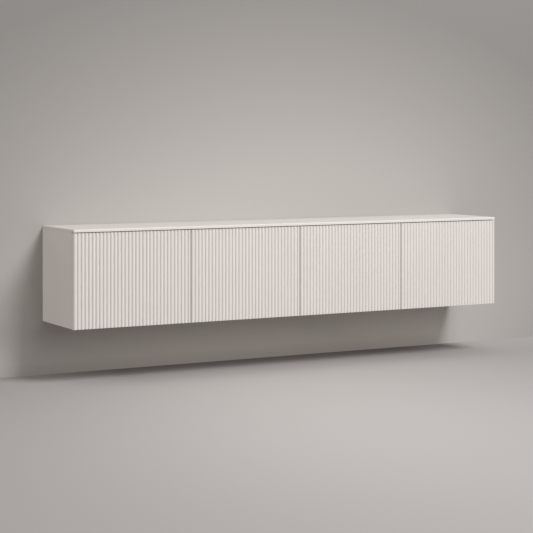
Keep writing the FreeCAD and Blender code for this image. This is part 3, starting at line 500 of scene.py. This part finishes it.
def drilled_face(outward, has_hinges):
    """Cuts in a board's face towards a bay: rows for shelf pins and, with hinges, their plates' screws."""
    front_row, rear_row = inset_pair("partition_1", 1, PIN_INSET)
    pins_low, pins_high = node_box("shelf_pins")
    pin_level = (pins_low[2] + pins_high[2]) / 2
    side = (0, outward)
    cuts = [Cut(side, y, pin_level + step * PIN_PITCH, PIN_HOLE, PIN_DEPTH)
            for y in (front_row, rear_row) for step in PIN_STEPS]
    if has_hinges:
        cuts += [Cut(side, front_row, level + half, PLATE_SCREW_HOLE, PLATE_SCREW_DEPTH)
                 for level in hinge_levels() for half in (-PLATE_SCREW_HALF, PLATE_SCREW_HALF)]
    return cuts


def cam_rows():
    """Depths of the two rows of cam locks."""
    return inset_pair("partition_1", 1, CAM_SETBACK)


def cam_cut(side, along, at):
    return Cut(side, along, at, CAM_RADIUS, CAM_DEPTH)


def divider_cuts(index):
    """Cuts in a partition: rows for pins on both faces, hinge screws on one, cam locks in the other."""
    hinges = {1: 1, len(FRONTS) - 1: -1}.get(index, 0)  # which face carries a front's hinges, if any
    cams = -hinge_side(index)
    levels = inset_pair("partition_%d" % index, 2, CAM_INSET)
    locks = [cam_cut((0, cams), y, z) for y in cam_rows() for z in levels]
    return drilled_face(1, hinges == 1) + drilled_face(-1, hinges == -1) + locks


def end_cams(side):
    """Cam locks near both ends of a lying board, which runs along x."""
    return [cam_cut(side, y, x) for y in cam_rows() for x in inset_pair("carcass_top", 0, CAM_INSET)]


def ceiling_cuts():
    """Sunk heads of the cover's screws under the carcass top, and cam locks in its upper face."""
    cuts = end_cams((1, 1))
    carcass_front = node_box("carcass_top")[0][1]
    for number in FRONTS:
        middle = sum(bay_limits(number)) / 2
        for y in (carcass_front + COVER_SCREW_INSET, -COVER_SCREW_INSET):
            cuts.append(Cut((1, -1), y, middle, COVER_HEAD_HOLE, COVER_HEAD_DEPTH))
    return cuts


def rear_cuts():
    """Cable outlets, and slots that the hangers' hooks pass, all through the back panel."""
    low, high = node_box("back_panel")
    side, thick = (0, -1), high[1] - low[1]
    slot_low, slot_high = HOOK_SEAT - HOOK_TIP_DROP - SLOT_GAP, HOOK_SEAT + HOOK_BAR_TALL + SLOT_GAP
    slot_half = ((slot_high - slot_low) / 2, HOOK_THICK / 2 + SLOT_GAP)
    cuts = []
    for number in FRONTS:
        left, right = bay_limits(number)
        cuts.append(Cut(side, low[2] + OUTLET_RAISE, (left + right) / 2, OUTLET_RADIUS, thick, through=True,
                        steps=sizes_now().hole_steps))
        middle = left + HANGER_WIDE / 2 if hinge_side(number) > 0 else right - HANGER_WIDE / 2
        cuts.append(Cut(side, (slot_low + slot_high) / 2, middle, depth=thick, half=slot_half, through=True))
    return cuts


# ---- Screws and liners

def solids_of(node):
    """Points of each separate solid of a CAD node, found by labelling the triangles that share points."""
    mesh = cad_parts[node].data
    places = np.empty(3 * len(mesh.vertices))
    mesh.vertices.foreach_get("co", places)
    points, number = np.unique(places.reshape(-1, 3).round(DECIMALS), axis=0, return_inverse=True)
    corners = np.empty(len(mesh.loops), np.int32)
    mesh.loops.foreach_get("vertex_index", corners)
    triangles = number.ravel()[corners].reshape(-1, 3)
    label = np.arange(len(points))
    while True:
        lowest = label.copy()
        np.minimum.at(lowest, triangles, label[triangles].min(axis=1)[:, None])
        if (lowest == label).all():
            return [points[label == value] for value in np.unique(label)]
        label = lowest


def measured_screw(points):
    """Axis, middle, the head's direction, top, length, the two radii and the head's height of a screw."""
    low, high = points.min(axis=0), points.max(axis=0)
    span, middle = high - low, (low + high) / 2
    axis = int(np.argmin([abs(span[a - 1] - span[a - 2]) for a in range(3)]))
    off = points - middle
    off[:, axis] = 0
    radius = np.linalg.norm(off, axis=1)
    at_low, at_high = [radius[np.isclose(points[:, axis], end[axis], atol=SAME_LEVEL)].max()
                       for end in (low, high)]
    toward, top = (1, high[axis]) if at_high > at_low + SAME_LEVEL else (-1, low[axis])
    shank, head = sorted((at_low, at_high))
    in_head = points[radius > (head + shank) / 2 - SLACK, axis]
    tall = in_head.max() - in_head.min() if head > shank + SAME_LEVEL else HEADLESS_TALL * head
    return axis, middle, toward, top, span[axis], head, shank, tall


HEADLESS_TALL = 0.2  # of a screw without a head: how far down its rim is rounded, over its radius
RECESS_FLOOR, RECESS_MOUTH = (0.36, 0.07), (0.56, 0.12)  # reach and half width, over the head's radius
RECESS_DEEP, RECESS_DEEPEST = 0.9, 0.6  # over the head's height, but at most this over its radius
HEAD_FLAT, HEAD_ROUND = 0.72, 0.7  # radius of the flat, and height of the rounding
TIP_LONG, TIP_THIN = 0.6, 0.4  # of the chamfered tip, over the shank's radius
SCREW_SIDES = 24
MOUTH, SLEEVE_END = 0.0014, 0.0004  # rounding and chamfer of a liner's bore at its two ends


def cross_outline(reach, half):
    """Outline of a cross in 24 points: arms as long as reach and 2·half wide."""
    middle = (reach + half) / 2
    u = np.array((reach, reach, middle, half, half, half))
    v = np.array((0.0, half, half, half, middle, reach))
    return np.concatenate([np.stack(turned, axis=1) for turned in ((u, v), (-v, u), (-u, -v), (v, -u))])


def screw_into(shell, points, turn):
    """A round screw in outlines of 24 points, from the floor of its cross recess over the elliptic rim to the
    chamfered tip. turn is how far the cross is turned."""
    circle = arc_run((0.0, 0.0), 1.0, 0.0, 2 * math.pi, SCREW_SIDES)[0][:-1]
    axis, middle, toward, top, long, head, shank, tall = measured_screw(points)
    flat = HEAD_FLAT * head
    levels = [(head * cross_outline(*RECESS_FLOOR), min(RECESS_DEEP * tall, RECESS_DEEPEST * head)),
              (head * cross_outline(*RECESS_MOUTH), 0.0),
              (flat * circle, 0.0)]
    levels += [((flat + (head - flat) * math.sin(a)) * circle, HEAD_ROUND * tall * (1 - math.cos(a)))
               for a in np.linspace(0, QUARTER, 5)[1:]]
    levels += [(head * circle, tall), (shank * circle, tall), (shank * circle, long - TIP_LONG * shank),
               (TIP_THIN * shank * circle, long)]
    rotate = np.array([(math.cos(turn), math.sin(turn)), (-math.sin(turn), math.cos(turn))])
    across = [a for a in range(3) if a != axis]
    loops = []
    for outline, depth in levels:
        ring = np.empty((SCREW_SIDES, 3))
        ring[:, across] = outline @ rotate + middle[across]
        ring[:, axis] = top - toward * depth
        loops.append(shell.add(ring))
    shell.loft(np.array(loops))
    shell.cap(loops[0], loops[-1])


def screws(name, node, body="cabinet"):
    """All screws of a node, each with its cross turned another way."""
    shell = Shell()
    for index, points in enumerate(solids_of(node)):
        screw_into(shell, points, GOLDEN_TURN * index)
    shown_piece(name, shell, body, "zinc_steel", node)


def liner_profile(bore, sleeve, flange, front, back, face):
    """Section of a cable liner as (radius, depth): a sleeve through the panel and, on the bay's side, a
    flange with a round lip and a rounded mouth."""
    lip = (face - front) / 2
    runs = [arc_run((bore + MOUTH, front + MOUTH), MOUTH, 2 * QUARTER, 3 * QUARTER, 5),
            arc_run((flange - lip, face - lip), lip, -QUARTER, QUARTER, 8),
            flat_run(0, sleeve, (face, back - SLEEVE_END), 1),
            flat_run(1, back, (sleeve - SLEEVE_END, bore + SLEEVE_END), 1),
            flat_run(0, bore, (back - SLEEVE_END,), -1)]
    return np.concatenate([points for points, normals in runs])


def cable_liners():
    """The liners of the outlets: the profile is turned once round each outlet's axis."""
    steps = sizes_now().liner_steps
    angle = np.arange(steps) * 2 * math.pi / steps
    panel_face, panel_rear = [corner[1] for corner in node_box("back_panel")]
    shell = Shell()
    for points in solids_of("cable_grommets"):
        low, high = points.min(axis=0), points.max(axis=0)
        middle = (low + high) / 2
        radius = np.linalg.norm(points[:, [0, 2]] - middle[[0, 2]], axis=1)
        at_rear = np.isclose(points[:, 1], high[1], atol=SAME_LEVEL)
        profile = liner_profile(radius.min(), radius[at_rear].max(), radius.max(), low[1],
                                max(high[1], panel_rear), panel_face)
        rings = np.empty((len(profile), steps, 3))
        rings[..., 0] = middle[0] + profile[:, :1] * np.cos(angle)
        rings[..., 1] = profile[:, 1:]
        rings[..., 2] = middle[2] + profile[:, :1] * np.sin(angle)
        loops = shell.add(rings)
        shell.loft(np.concatenate([loops, loops[:1]]))
    shown_piece("cable_liners", shell, "cabinet", "white_plastic", "cable_grommets")


# ---- Materials

class Recipe:
    """A node tree of a material or a world, with short calls to add nodes and join them."""

    def __init__(self, name, blocks="materials", output="OutputMaterial", shader="BsdfPrincipled"):
        self.block = getattr(bpy.data, blocks).new(name)
        self.block.use_nodes = True
        self.tree = self.block.node_tree
        self.tree.nodes.clear()
        self.shader = self.made(shader)
        self.surface = self.made(output).inputs["Surface"]
        self.put(self.surface, self.shader.outputs[0])

    def put(self, socket, value):
        """Joins an output to a socket, or writes a number or a colour into it."""
        if isinstance(value, bpy.types.NodeSocket):
            self.tree.links.new(value, socket)
        elif socket.type == "RGBA":
            socket.default_value = (*value[:3], 1.0)
        else:
            socket.default_value = value

    def made(self, kind):
        return self.tree.nodes.new("ShaderNode" + kind)

    def node(self, kind, inputs=(), output=0, **settings):
        """An output of a new node. inputs has (name or number, value or output) pairs."""
        made = self.made(kind)
        for key, value in settings.items():
            setattr(made, key, value)
        for key, value in inputs:
            self.put(made.inputs[key], value)
        return made.outputs[output]

    def set(self, **inputs):
        """Values or outputs for the shader's own sockets, whose names have _ for a space here."""
        for key, value in inputs.items():
            self.put(self.shader.inputs[key.replace("_", " ")], value)

    def where(self):
        return self.node("TexCoord", output="Object")

    def place(self, axis):
        """One coordinate of the place, in metres."""
        return self.node("SeparateXYZ", ((0, self.where()),), axis)

    def behind(self):
        """1 on the back of the surface and 0 on its front."""
        return self.node("NewGeometry", output="Backfacing")

    def path(self, name):
        return self.node("LightPath", output=name)

    def noise(self, scale, detail=3.0, roughness=0.5, stretch=(1.0, 1.0, 1.0)):
        place = self.node("Mapping", (("Vector", self.where()), ("Scale", stretch)))
        inputs = (("Vector", place), ("Scale", scale), ("Detail", detail), ("Roughness", roughness))
        return self.node("TexNoise", inputs, "Fac")

    def spread(self, source, low, high, from_low=0.3, from_high=0.7):
        """Maps a pattern's usual range, or another, to the range from low to high, and no further."""
        return self.node("MapRange", enumerate((source, from_low, from_high, low, high)))

    def math(self, operation, *values):
        return self.node("Math", enumerate(values), operation=operation)

    def vector(self, operation, *values, output=0):
        return self.node("VectorMath", enumerate(values), output, operation=operation)

    def product(self, first, *others):
        for other in others:
            first = self.math("MULTIPLY", first, other)
        return first

    def blend(self, share, first, second):
        """Mix of two colours: first where the share is 0, second where it is 1."""
        return self.node("Mix", ((0, share), (6, first), (7, second)), 2, data_type="RGBA")

    def cloudy(self, rgb, pattern, dark, pale):
        """A colour that wavers between two tones of itself, as a pattern goes."""
        return self.blend(self.spread(pattern, 0.0, 1.0), shade(rgb, dark), shade(rgb, pale))

    def toned(self, colour, tone):
        """A colour times a tone."""
        return self.node("VectorMath", ((0, colour), ("Scale", tone)), operation="SCALE")

    def bumps(self, *heights):
        """Bump nodes in a row, from (height output, strength, distance) triples."""
        normal = None
        for height, strength, distance in heights:
            inputs = [("Height", height), ("Strength", strength), ("Distance", distance)]
            if normal:
                inputs.append(("Normal", normal))
            normal = self.node("Bump", inputs)
        self.set(Normal=normal)

    def overlay(self, share, other=None):
        """Shows another shader, or nothing, instead of the recipe's own, as far as the share goes."""
        other = other or self.node("BsdfTransparent")
        self.put(self.surface, self.node("MixShader", enumerate((share, self.shader.outputs[0], other))))


def shade(rgb, factor):
    return tuple(min(1.0, part * factor) for part in rgb[:3])


def satin_lacquer():
    """Sprayed satin lacquer: almost even colour, fine orange peel, and a sheen that varies a little."""
    recipe = Recipe("satin_lacquer")
    recipe.set(Base_Color=recipe.cloudy(colours_now().lacquer, recipe.noise(2.3, 4.0), 0.985, 1.012),
               Roughness=recipe.spread(recipe.noise(9.0, 5.0), 0.40, 0.47), IOR=1.46)
    peel, film = recipe.noise(620.0, 2.0), recipe.noise(38.0)
    recipe.bumps((peel, 0.35, 0.00003), (film, 0.25, 0.00006))
    return recipe.block


def melamine(name, front_y):
    """Faced chipboard: a fine pearl in the foil, and a plain band on the edge at front_y."""
    foil, band = colours_now().melamine, colours_now().edge_band
    recipe = Recipe(name)
    depth, band_back = recipe.place("Y"), front_y + BAND_THICK
    on_band = recipe.math("LESS_THAN", depth, band_back)
    face = recipe.cloudy(foil, recipe.noise(3.1), 0.98, 1.012)
    joint = recipe.math("COMPARE", depth, band_back, BAND_JOINT)
    base = recipe.blend(joint, recipe.blend(on_band, face, band), shade(band, 0.62))
    pearl = recipe.noise(1900.0, 2.0)
    rough = recipe.math("SUBTRACT", recipe.spread(pearl, 0.44, 0.56), recipe.product(on_band, 0.08))
    recipe.set(Base_Color=base, Roughness=rough)
    recipe.bumps((pearl, 0.5, 0.00004))
    return recipe.block


def back_foil():
    """Foil on thin fibreboard, with the board's slight waviness."""
    recipe = Recipe("back_foil")
    fibres = recipe.noise(1400.0, stretch=(1.0, 1.0, 0.35))
    recipe.set(Base_Color=recipe.cloudy(colours_now().back, recipe.noise(4.0, 4.0), 0.97, 1.015),
               Roughness=recipe.spread(fibres, 0.52, 0.66))
    recipe.bumps((fibres, 0.4, 0.00003), (recipe.noise(14.0, 2.0), 0.3, 0.0004))
    return recipe.block


def plated_metal(name, rgb, rough, grain, stretch=(1.0, 1.0, 1.0)):
    """Plated metal with fine drawing marks, cloudy plating and slightly varied gloss."""
    recipe = Recipe(name)
    marks = recipe.noise(grain, 4.0, 0.6, stretch)
    recipe.set(Base_Color=recipe.cloudy(rgb, recipe.noise(90.0), 0.93, 1.05), Metallic=1.0,
               Roughness=recipe.spread(marks, rough - 0.05, rough + 0.08))
    recipe.bumps((marks, 0.12, 0.00002))
    return recipe.block


def galvanised_sheet():
    """Hot-dip zinc: crystals a centimetre across, each with its own brightness and gloss."""
    zinc = colours_now().galvanised
    recipe = Recipe("galvanised_sheet")
    nudge = recipe.vector("MULTIPLY", recipe.noise(60.0), (0.006, 0.006, 0.006))
    place = recipe.vector("ADD", recipe.where(), nudge)
    cells = recipe.node("TexVoronoi", (("Vector", place), ("Scale", 105.0)), "Color")
    tone = recipe.node("SeparateColor", ((0, cells),))
    recipe.set(Base_Color=recipe.blend(tone, shade(zinc, 0.78), shade(zinc, 1.12)), Metallic=1.0,
               Roughness=recipe.spread(tone, 0.34, 0.52, 0.0, 1.0))
    recipe.bumps((recipe.noise(500.0), 0.3, 0.00003))
    return recipe.block


def moulded_plastic(name, rgb, rough):
    """Moulded plastic with a fine spark-eroded grain."""
    recipe = Recipe(name)
    grain = recipe.noise(2600.0, 2.0)
    recipe.set(Base_Color=recipe.cloudy(rgb, recipe.noise(30.0), 0.97, 1.02),
               Roughness=recipe.spread(grain, rough - 0.05, rough + 0.07))
    recipe.bumps((grain, 0.5, 0.00003))
    return recipe.block


def soft_disc():
    """Clear soft plastic, cloudy enough to take the boards' colour."""
    recipe = Recipe("soft_disc")
    dust = recipe.noise(800.0)
    recipe.set(Base_Color=recipe.cloudy(colours_now().rubber, dust, 0.94, 1.03),
               Roughness=recipe.spread(dust, 0.24, 0.36), Subsurface_Weight=0.4,
               Subsurface_Radius=(0.002, 0.002, 0.002))
    recipe.bumps((dust, 0.2, 0.00003))
    return recipe.block


MATERIALS = {}


def finish_of(slot):
    """The material of one of the record's slots, made when it is first asked for."""
    colours = colours_now()
    makers = {
        "lacquer": satin_lacquer,
        "inner_board": lambda: melamine("melamine_carcass", node_box("partition_1")[0][1]),
        "shelf_board": lambda: melamine("melamine_shelf", node_box("shelf_1")[0][1]),
        "back_board": back_foil,
        "nickel_plate": lambda: plated_metal("nickel_plating", colours.nickel, 0.27, 900.0, (1.0, 0.1, 1.0)),
        "zinc_steel": lambda: plated_metal("zinc_plating", colours.zinc, 0.32, 1500.0),
        "galvanised_steel": galvanised_sheet,
        "white_plastic": lambda: moulded_plastic("moulded_white", colours.white_plastic, 0.42),
        "grey_plastic": lambda: moulded_plastic("moulded_grey", colours.grey_plastic, 0.45),
        "soft_rubber": soft_disc,
    }
    if slot not in MATERIALS:
        MATERIALS[slot] = makers[slot]()
    return MATERIALS[slot]


# ---- Operators

class CONSOLE_OT_fronts(bpy.types.Operator):
    """Build the four fluted fronts, bored for their hinge cups"""

    bl_idname = "console.fronts"
    bl_label = "Fluted fronts"

    def execute(self, context):
        for number in FRONTS:
            fluted_front(number)
        return {"FINISHED"}


class CONSOLE_OT_casing(bpy.types.Operator):
    """Build the lacquered cover and side panels with their softly rounded edges"""

    bl_idname = "console.casing"
    bl_label = "Cover and side panels"

    def execute(self, context):
        sizes = sizes_now()
        cover_edges = (sizes.cover_under_edge, sizes.cover_edge)
        board("cover_board", "cover_top", 0, cover_edges, "lacquer")
        for side, inwards in (("left", 1), ("right", -1)):
            cuts = drilled_face(inwards, True)
            board("side_board_" + side, side + "_side_panel", 2, sizes.side_edge, "lacquer", cuts)
        return {"FINISHED"}


class CONSOLE_OT_boards(bpy.types.Operator):
    """Build the drilled and banded boards inside, and the back panel with its outlets"""

    bl_idname = "console.boards"
    bl_label = "Boards inside"

    def execute(self, context):
        edge = sizes_now().board_edge
        for index in range(1, len(FRONTS)):
            board("divider_%d" % index, "partition_%d" % index, 2, edge, "inner_board", divider_cuts(index))
        board("ceiling_board", "carcass_top", 0, edge, "inner_board", ceiling_cuts())
        board("floor_board", "bottom_panel", 0, edge, "inner_board", end_cams((1, -1)))
        board("rear_board", "back_panel", 0, edge, "back_board", rear_cuts())
        for number in FRONTS:
            name = "shelf_board_%d" % number
            board(name, "shelf_%d" % number, 0, edge, "inner_board", finish="shelf_board")
        return {"FINISHED"}


class CONSOLE_OT_screws(bpy.types.Operator):
    """Build the screws of the hinges, the cover and the hangers, with cross recesses"""

    bl_idname = "console.screws"
    bl_label = "Screws"

    def execute(self, context):
        for number in FRONTS:
            screws("cup_fixings_%d" % number, "cup_screws_%d" % number, "door_leaf_%d" % number)
        for place in ("hinge", "cover", "hanger"):
            screws(place + "_fixings", place + "_screws")
        return {"FINISHED"}


class CONSOLE_OT_liners(bpy.types.Operator):
    """Build the liners of the cable outlets, with rounded lips"""

    bl_idname = "console.liners"
    bl_label = "Cable liners"

    def execute(self, context):
        cable_liners()
        return {"FINISHED"}


class CONSOLE_OT_hardware(bpy.types.Operator):
    """Finish the fittings that keep their construction shapes"""

    bl_idname = "console.hardware"
    bl_label = "Fittings"

    def execute(self, context):
        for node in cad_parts.values():
            for place in node.material_slots:
                place.material = finish_of(place.material.name.split(".")[0])
        return {"FINISHED"}


def facing(direction):
    """Turn that points an object's -z axis along a direction, with its x axis level."""
    dx, dy, dz = direction
    return math.atan2(math.hypot(dx, dy), -dz), 0.0, math.atan2(-dx, dy)


def area_lamp(name, place, size, power, rgb):
    """A soft lamp that the camera doesn't see, turned towards the console."""
    lamp = bpy.data.lights.new(name, "AREA")
    lamp.shape, lamp.energy, lamp.color = "RECTANGLE", power, rgb
    lamp.size, lamp.size_y = size
    holder = placed(name, lamp)
    holder.location = place
    holder.rotation_euler = facing(np.array(LAMP_TARGET) - np.array(place))
    holder.visible_camera = False


def stage_plane(name, material, *corners):
    mesh = bpy.data.meshes.new(name)
    mesh.from_pydata(corners, [], [(0, 1, 2, 3)])
    mesh.materials.append(material)
    placed(name, mesh)


SENSOR_WIDTH = 36.0
CAMERA_PLACE = (-3.164, -5.812, 0.414)
CAMERA_YAW = math.radians(28.764)  # from looking straight at the wall towards its right end
CAMERA_SHIFT = -0.2377  # the camera stands level and its frame is shifted down, so uprights stay upright
LAMPS = (("key", (1.6, -5.2, 5.2), (2.7, 2.7), (1.0, 0.996, 0.992)),
         ("front", (-0.6, -6.2, 1.2), (3.0, 2.0), (1.0, 0.985, 0.97)),
         ("left", (-4.2, -0.35, 0.0), (1.6, 1.6), (1.0, 0.95, 0.9)))
LAMP_TARGET = (0.0, -0.17, -0.1)
SKY_COLOUR = (1.0, 0.955, 0.905)
ROOM_HALF = 9.0
WALL_TOP = 5.0
BEYOND_TONE = 0.65  # of what lies past the stage, as a share of the floor's palest tone

# Pools of light painted on the floor and the wall, as hills of tone: their middle, and axes that are each
# 1/spread long. The far tones are shares of the palest. Pairs of places are where a painted tone's share
# starts and ends, along x or up z.
FLOOR_LIGHT_POOL = ((-0.417, -1.212, 0.0), ((1.245, -0.683, 0.0), (0.431, 0.785, 0.0)))
FLOOR_FAR = 0.691
WALL_LIGHT_POOL = ((0.041, 0.0, -0.476), ((0.689, 0.0, 0.0), (0.0, 0.0, 1.017)))
WALL_FAR, WALL_LEAST = 0.231, 0.28
AT_WALL = ((0.0, 0.0, 0.0), ((0.0, 4.8, 0.0),))  # the strip of floor along the wall
UNDER_SHADE, UNDER_END = 0.50, (0.7, 1.06)  # painted shadow on the floor there, under the console
RIGHT_PAINTED_LIGHT, RIGHT_START = 0.19, (0.95, 1.15)  # and painted light beyond its right end
FOOT_RISE = (-0.48, -0.36)  # from the wall's foot to the console
FOOT_PAINTED_LIGHT, FOOT_GAIN, FOOT_END = (0.14, 0.42), (0.4, 0.9), (0.92, 1.02)  # painted light on the wall's foot, standing in for the floor's light
# painted light on the wall's foot beyond the console's left end
LEFT_PAINTED_LIGHT, LEFT_END = 0.1, (-1.12, -1.02)
NEAR_SHADE, NEAR_TOP = 0.2, (-0.25, 0.1)  # painted shade on the wall next to the console
NEAR_LEFT, NEAR_RIGHT = (-1.065, -1.0), (0.25, 0.7)
ABOVE_SHADE = 0.10  # and a little painted shade above it
ABOVE_HILL = ((0.45, 0.0, 0.05), ((2.3, 0.0, 0.0), (0.0, 0.0, 8.0)))
TOUCHING = 0.1  # length of a glossy ray that starts beside the wall


def hill(recipe, middle, axes, level_below=False):
    """exp(-r²/2), r being the distance from the middle, measured along axes that are each 1/spread long. With
    level_below, the hill runs on level on the negative side of the last axis."""
    away = recipe.vector("SUBTRACT", recipe.where(), middle)
    total = 0.0
    for axis in axes:
        along = recipe.vector("DOT_PRODUCT", away, axis, output="Value")
        if level_below and axis == axes[-1]:
            along = recipe.math("MAXIMUM", along, 0.0)
        total = recipe.math("ADD", total, recipe.product(along, along))
    return recipe.math("EXPONENT", recipe.product(total, -0.5))


def matt_stage(name, rgb, far_tone, pool, level_below=False, least=0.0):
    """Recipe and colour of a matt stage surface with a painted pool of light: it darkens away from its palest
    place, but no further than where the hill's height is least."""
    recipe = Recipe(name)
    recipe.set(Roughness=0.9, Specular_IOR_Level=0.1)
    # share of the painted pool of light
    share = recipe.math("MAXIMUM", hill(recipe, *pool, level_below), least)
    return recipe, recipe.blend(share, shade(rgb, far_tone), rgb)


def plain_floor():
    """Matt floor with a painted pool of light, palest in front of the console, and clear to a camera below
    it.
    Along the wall it has a painted shadow under the console and painted light beyond its right end."""
    recipe, base = matt_stage("stage_floor", colours_now().floor, FLOOR_FAR, FLOOR_LIGHT_POOL)
    along = recipe.place("X")
    # painted shadow along the wall under the console, less painted light beyond its right end, seen by the
    # camera only
    under = recipe.spread(recipe.math("ABSOLUTE", along), UNDER_SHADE, 0.0, *UNDER_END)
    painted_shade_and_light = recipe.math("SUBTRACT", under, recipe.spread(along, 0.0, RIGHT_PAINTED_LIGHT, *RIGHT_START))
    painted_shade_and_light = recipe.product(painted_shade_and_light, hill(recipe, *AT_WALL), recipe.path("Is Camera Ray"))
    recipe.set(Base_Color=recipe.toned(base, recipe.math("SUBTRACT", 1.0, painted_shade_and_light)))
    recipe.overlay(recipe.product(recipe.path("Is Camera Ray"), recipe.behind()))
    return recipe.block


def plain_wall():
    """Matt wall with a painted pool of light, palest behind the console, that takes its shadow, with painted
    light on its foot and painted shade next to and a little above the console. It is clear from behind, to
    other light and to a glossy ray that starts beside it, on a fitting that touches it."""
    recipe, base = matt_stage("stage_wall", colours_now().wall, WALL_FAR, WALL_LIGHT_POOL, True, WALL_LEAST)
    along, height = recipe.place("X"), recipe.place("Z")
    spread = recipe.spread
    # painted light on the wall's foot, standing in for light from the floor
    painted_foot_light = recipe.product(spread(along, *FOOT_PAINTED_LIGHT, *FOOT_GAIN), spread(along, 1.0, 0.0, *FOOT_END))
    painted_foot_light = recipe.math("ADD", painted_foot_light, spread(along, LEFT_PAINTED_LIGHT, 0.0, *LEFT_END))
    foot = recipe.product(spread(height, 1.0, 0.0, *FOOT_RISE), painted_foot_light)
    # painted shade on the wall next to the console, and a little above it
    near = recipe.product(spread(height, 0.0, NEAR_SHADE, *FOOT_RISE), spread(height, 1.0, 0.0, *NEAR_TOP),
                          spread(along, 0.0, 1.0, *NEAR_LEFT), spread(along, 1.0, 0.0, *NEAR_RIGHT))
    near = recipe.math("ADD", near, recipe.product(hill(recipe, *ABOVE_HILL), ABOVE_SHADE))
    tone = recipe.math("ADD", 1.0, recipe.math("SUBTRACT", foot, near))
    recipe.set(Base_Color=recipe.toned(base, tone))
    mirrored = recipe.product(recipe.path("Is Glossy Ray"),
                              recipe.math("GREATER_THAN", recipe.path("Ray Length"), TOUCHING))
    seen = recipe.math("MAXIMUM", recipe.path("Is Camera Ray"), mirrored)
    before = recipe.math("SUBTRACT", 1.0, recipe.behind())
    recipe.overlay(recipe.math("SUBTRACT", 1.0, recipe.product(seen, before)))
    return recipe.block


def surroundings(strength):
    """Even light from all round, and a pale tone where the camera looks past the stage."""
    recipe = Recipe("surroundings", "worlds", "OutputWorld", "Background")
    recipe.set(Color=SKY_COLOUR, Strength=strength)
    beyond = recipe.node("Background", enumerate((shade(colours_now().floor, BEYOND_TONE), 1.0)))
    recipe.overlay(recipe.path("Is Camera Ray"), beyond)
    bpy.context.scene.world = recipe.block


def view_camera(lens):
    camera = bpy.data.cameras.new("camera")
    camera.sensor_width, camera.lens, camera.shift_y = SENSOR_WIDTH, lens, CAMERA_SHIFT
    holder = placed("camera", camera)
    holder.location = CAMERA_PLACE
    holder.rotation_euler = (QUARTER, 0.0, -CAMERA_YAW)
    bpy.context.scene.camera = holder


class CONSOLE_OT_stage(bpy.types.Operator):
    """Set up the floor, the wall, the lamps and the camera"""

    bl_idname = "console.stage"
    bl_label = "Stage"

    def execute(self, context):
        stage = stage_now()
        half, low = ROOM_HALF, -stage.floor_drop
        stage_plane("stage_floor", plain_floor(),
                    (-half, -2 * half, low), (half, -2 * half, low), (half, half, low), (-half, half, low))
        stage_plane("stage_wall", plain_wall(),
                    (-half, 0, low), (half, 0, low), (half, 0, WALL_TOP), (-half, 0, WALL_TOP))
        for name, place, size, tint in LAMPS:
            area_lamp(name, place, size, getattr(stage, name + "_power"), tint)
        surroundings(stage.sky)
        view_camera(stage.lens)
        context.scene.view_settings.view_transform = "Standard"
        return {"FINISHED"}


class CONSOLE_PT_panel(bpy.types.Panel):
    """Sizes, colours and steps of the console"""

    bl_label = "Media console"
    bl_idname = "CONSOLE_PT_panel"
    bl_space_type = "VIEW_3D"
    bl_region_type = "UI"
    bl_category = "Console"

    def draw(self, context):
        for step in STEPS:
            self.layout.operator(step.bl_idname)
        for group in (sizes_now(), colours_now(), stage_now()):
            column = self.layout.column(align=True)
            for name in group.__annotations__:
                column.prop(group, name)


STEPS = (CONSOLE_OT_fronts, CONSOLE_OT_casing, CONSOLE_OT_boards, CONSOLE_OT_screws, CONSOLE_OT_liners,
         CONSOLE_OT_hardware, CONSOLE_OT_stage)
GROUPS = {"console_sizes": ConsoleSizes, "console_colours": ConsoleColours, "console_stage": ConsoleStage}


def register():
    for kind in (*GROUPS.values(), *STEPS, CONSOLE_PT_panel):
        bpy.utils.register_class(kind)
    for name, kind in GROUPS.items():
        setattr(bpy.types.Scene, name, bpy.props.PointerProperty(type=kind))


def unregister():
    for name in GROUPS:
        delattr(bpy.types.Scene, name)
    for kind in (CONSOLE_PT_panel, *reversed(STEPS), *GROUPS.values()):
        bpy.utils.unregister_class(kind)


def main():
    register()
    for step in STEPS:
        group, call = step.bl_idname.split(".")
        getattr(getattr(bpy.ops, group), call)()


if __name__ == "__main__":
    main()
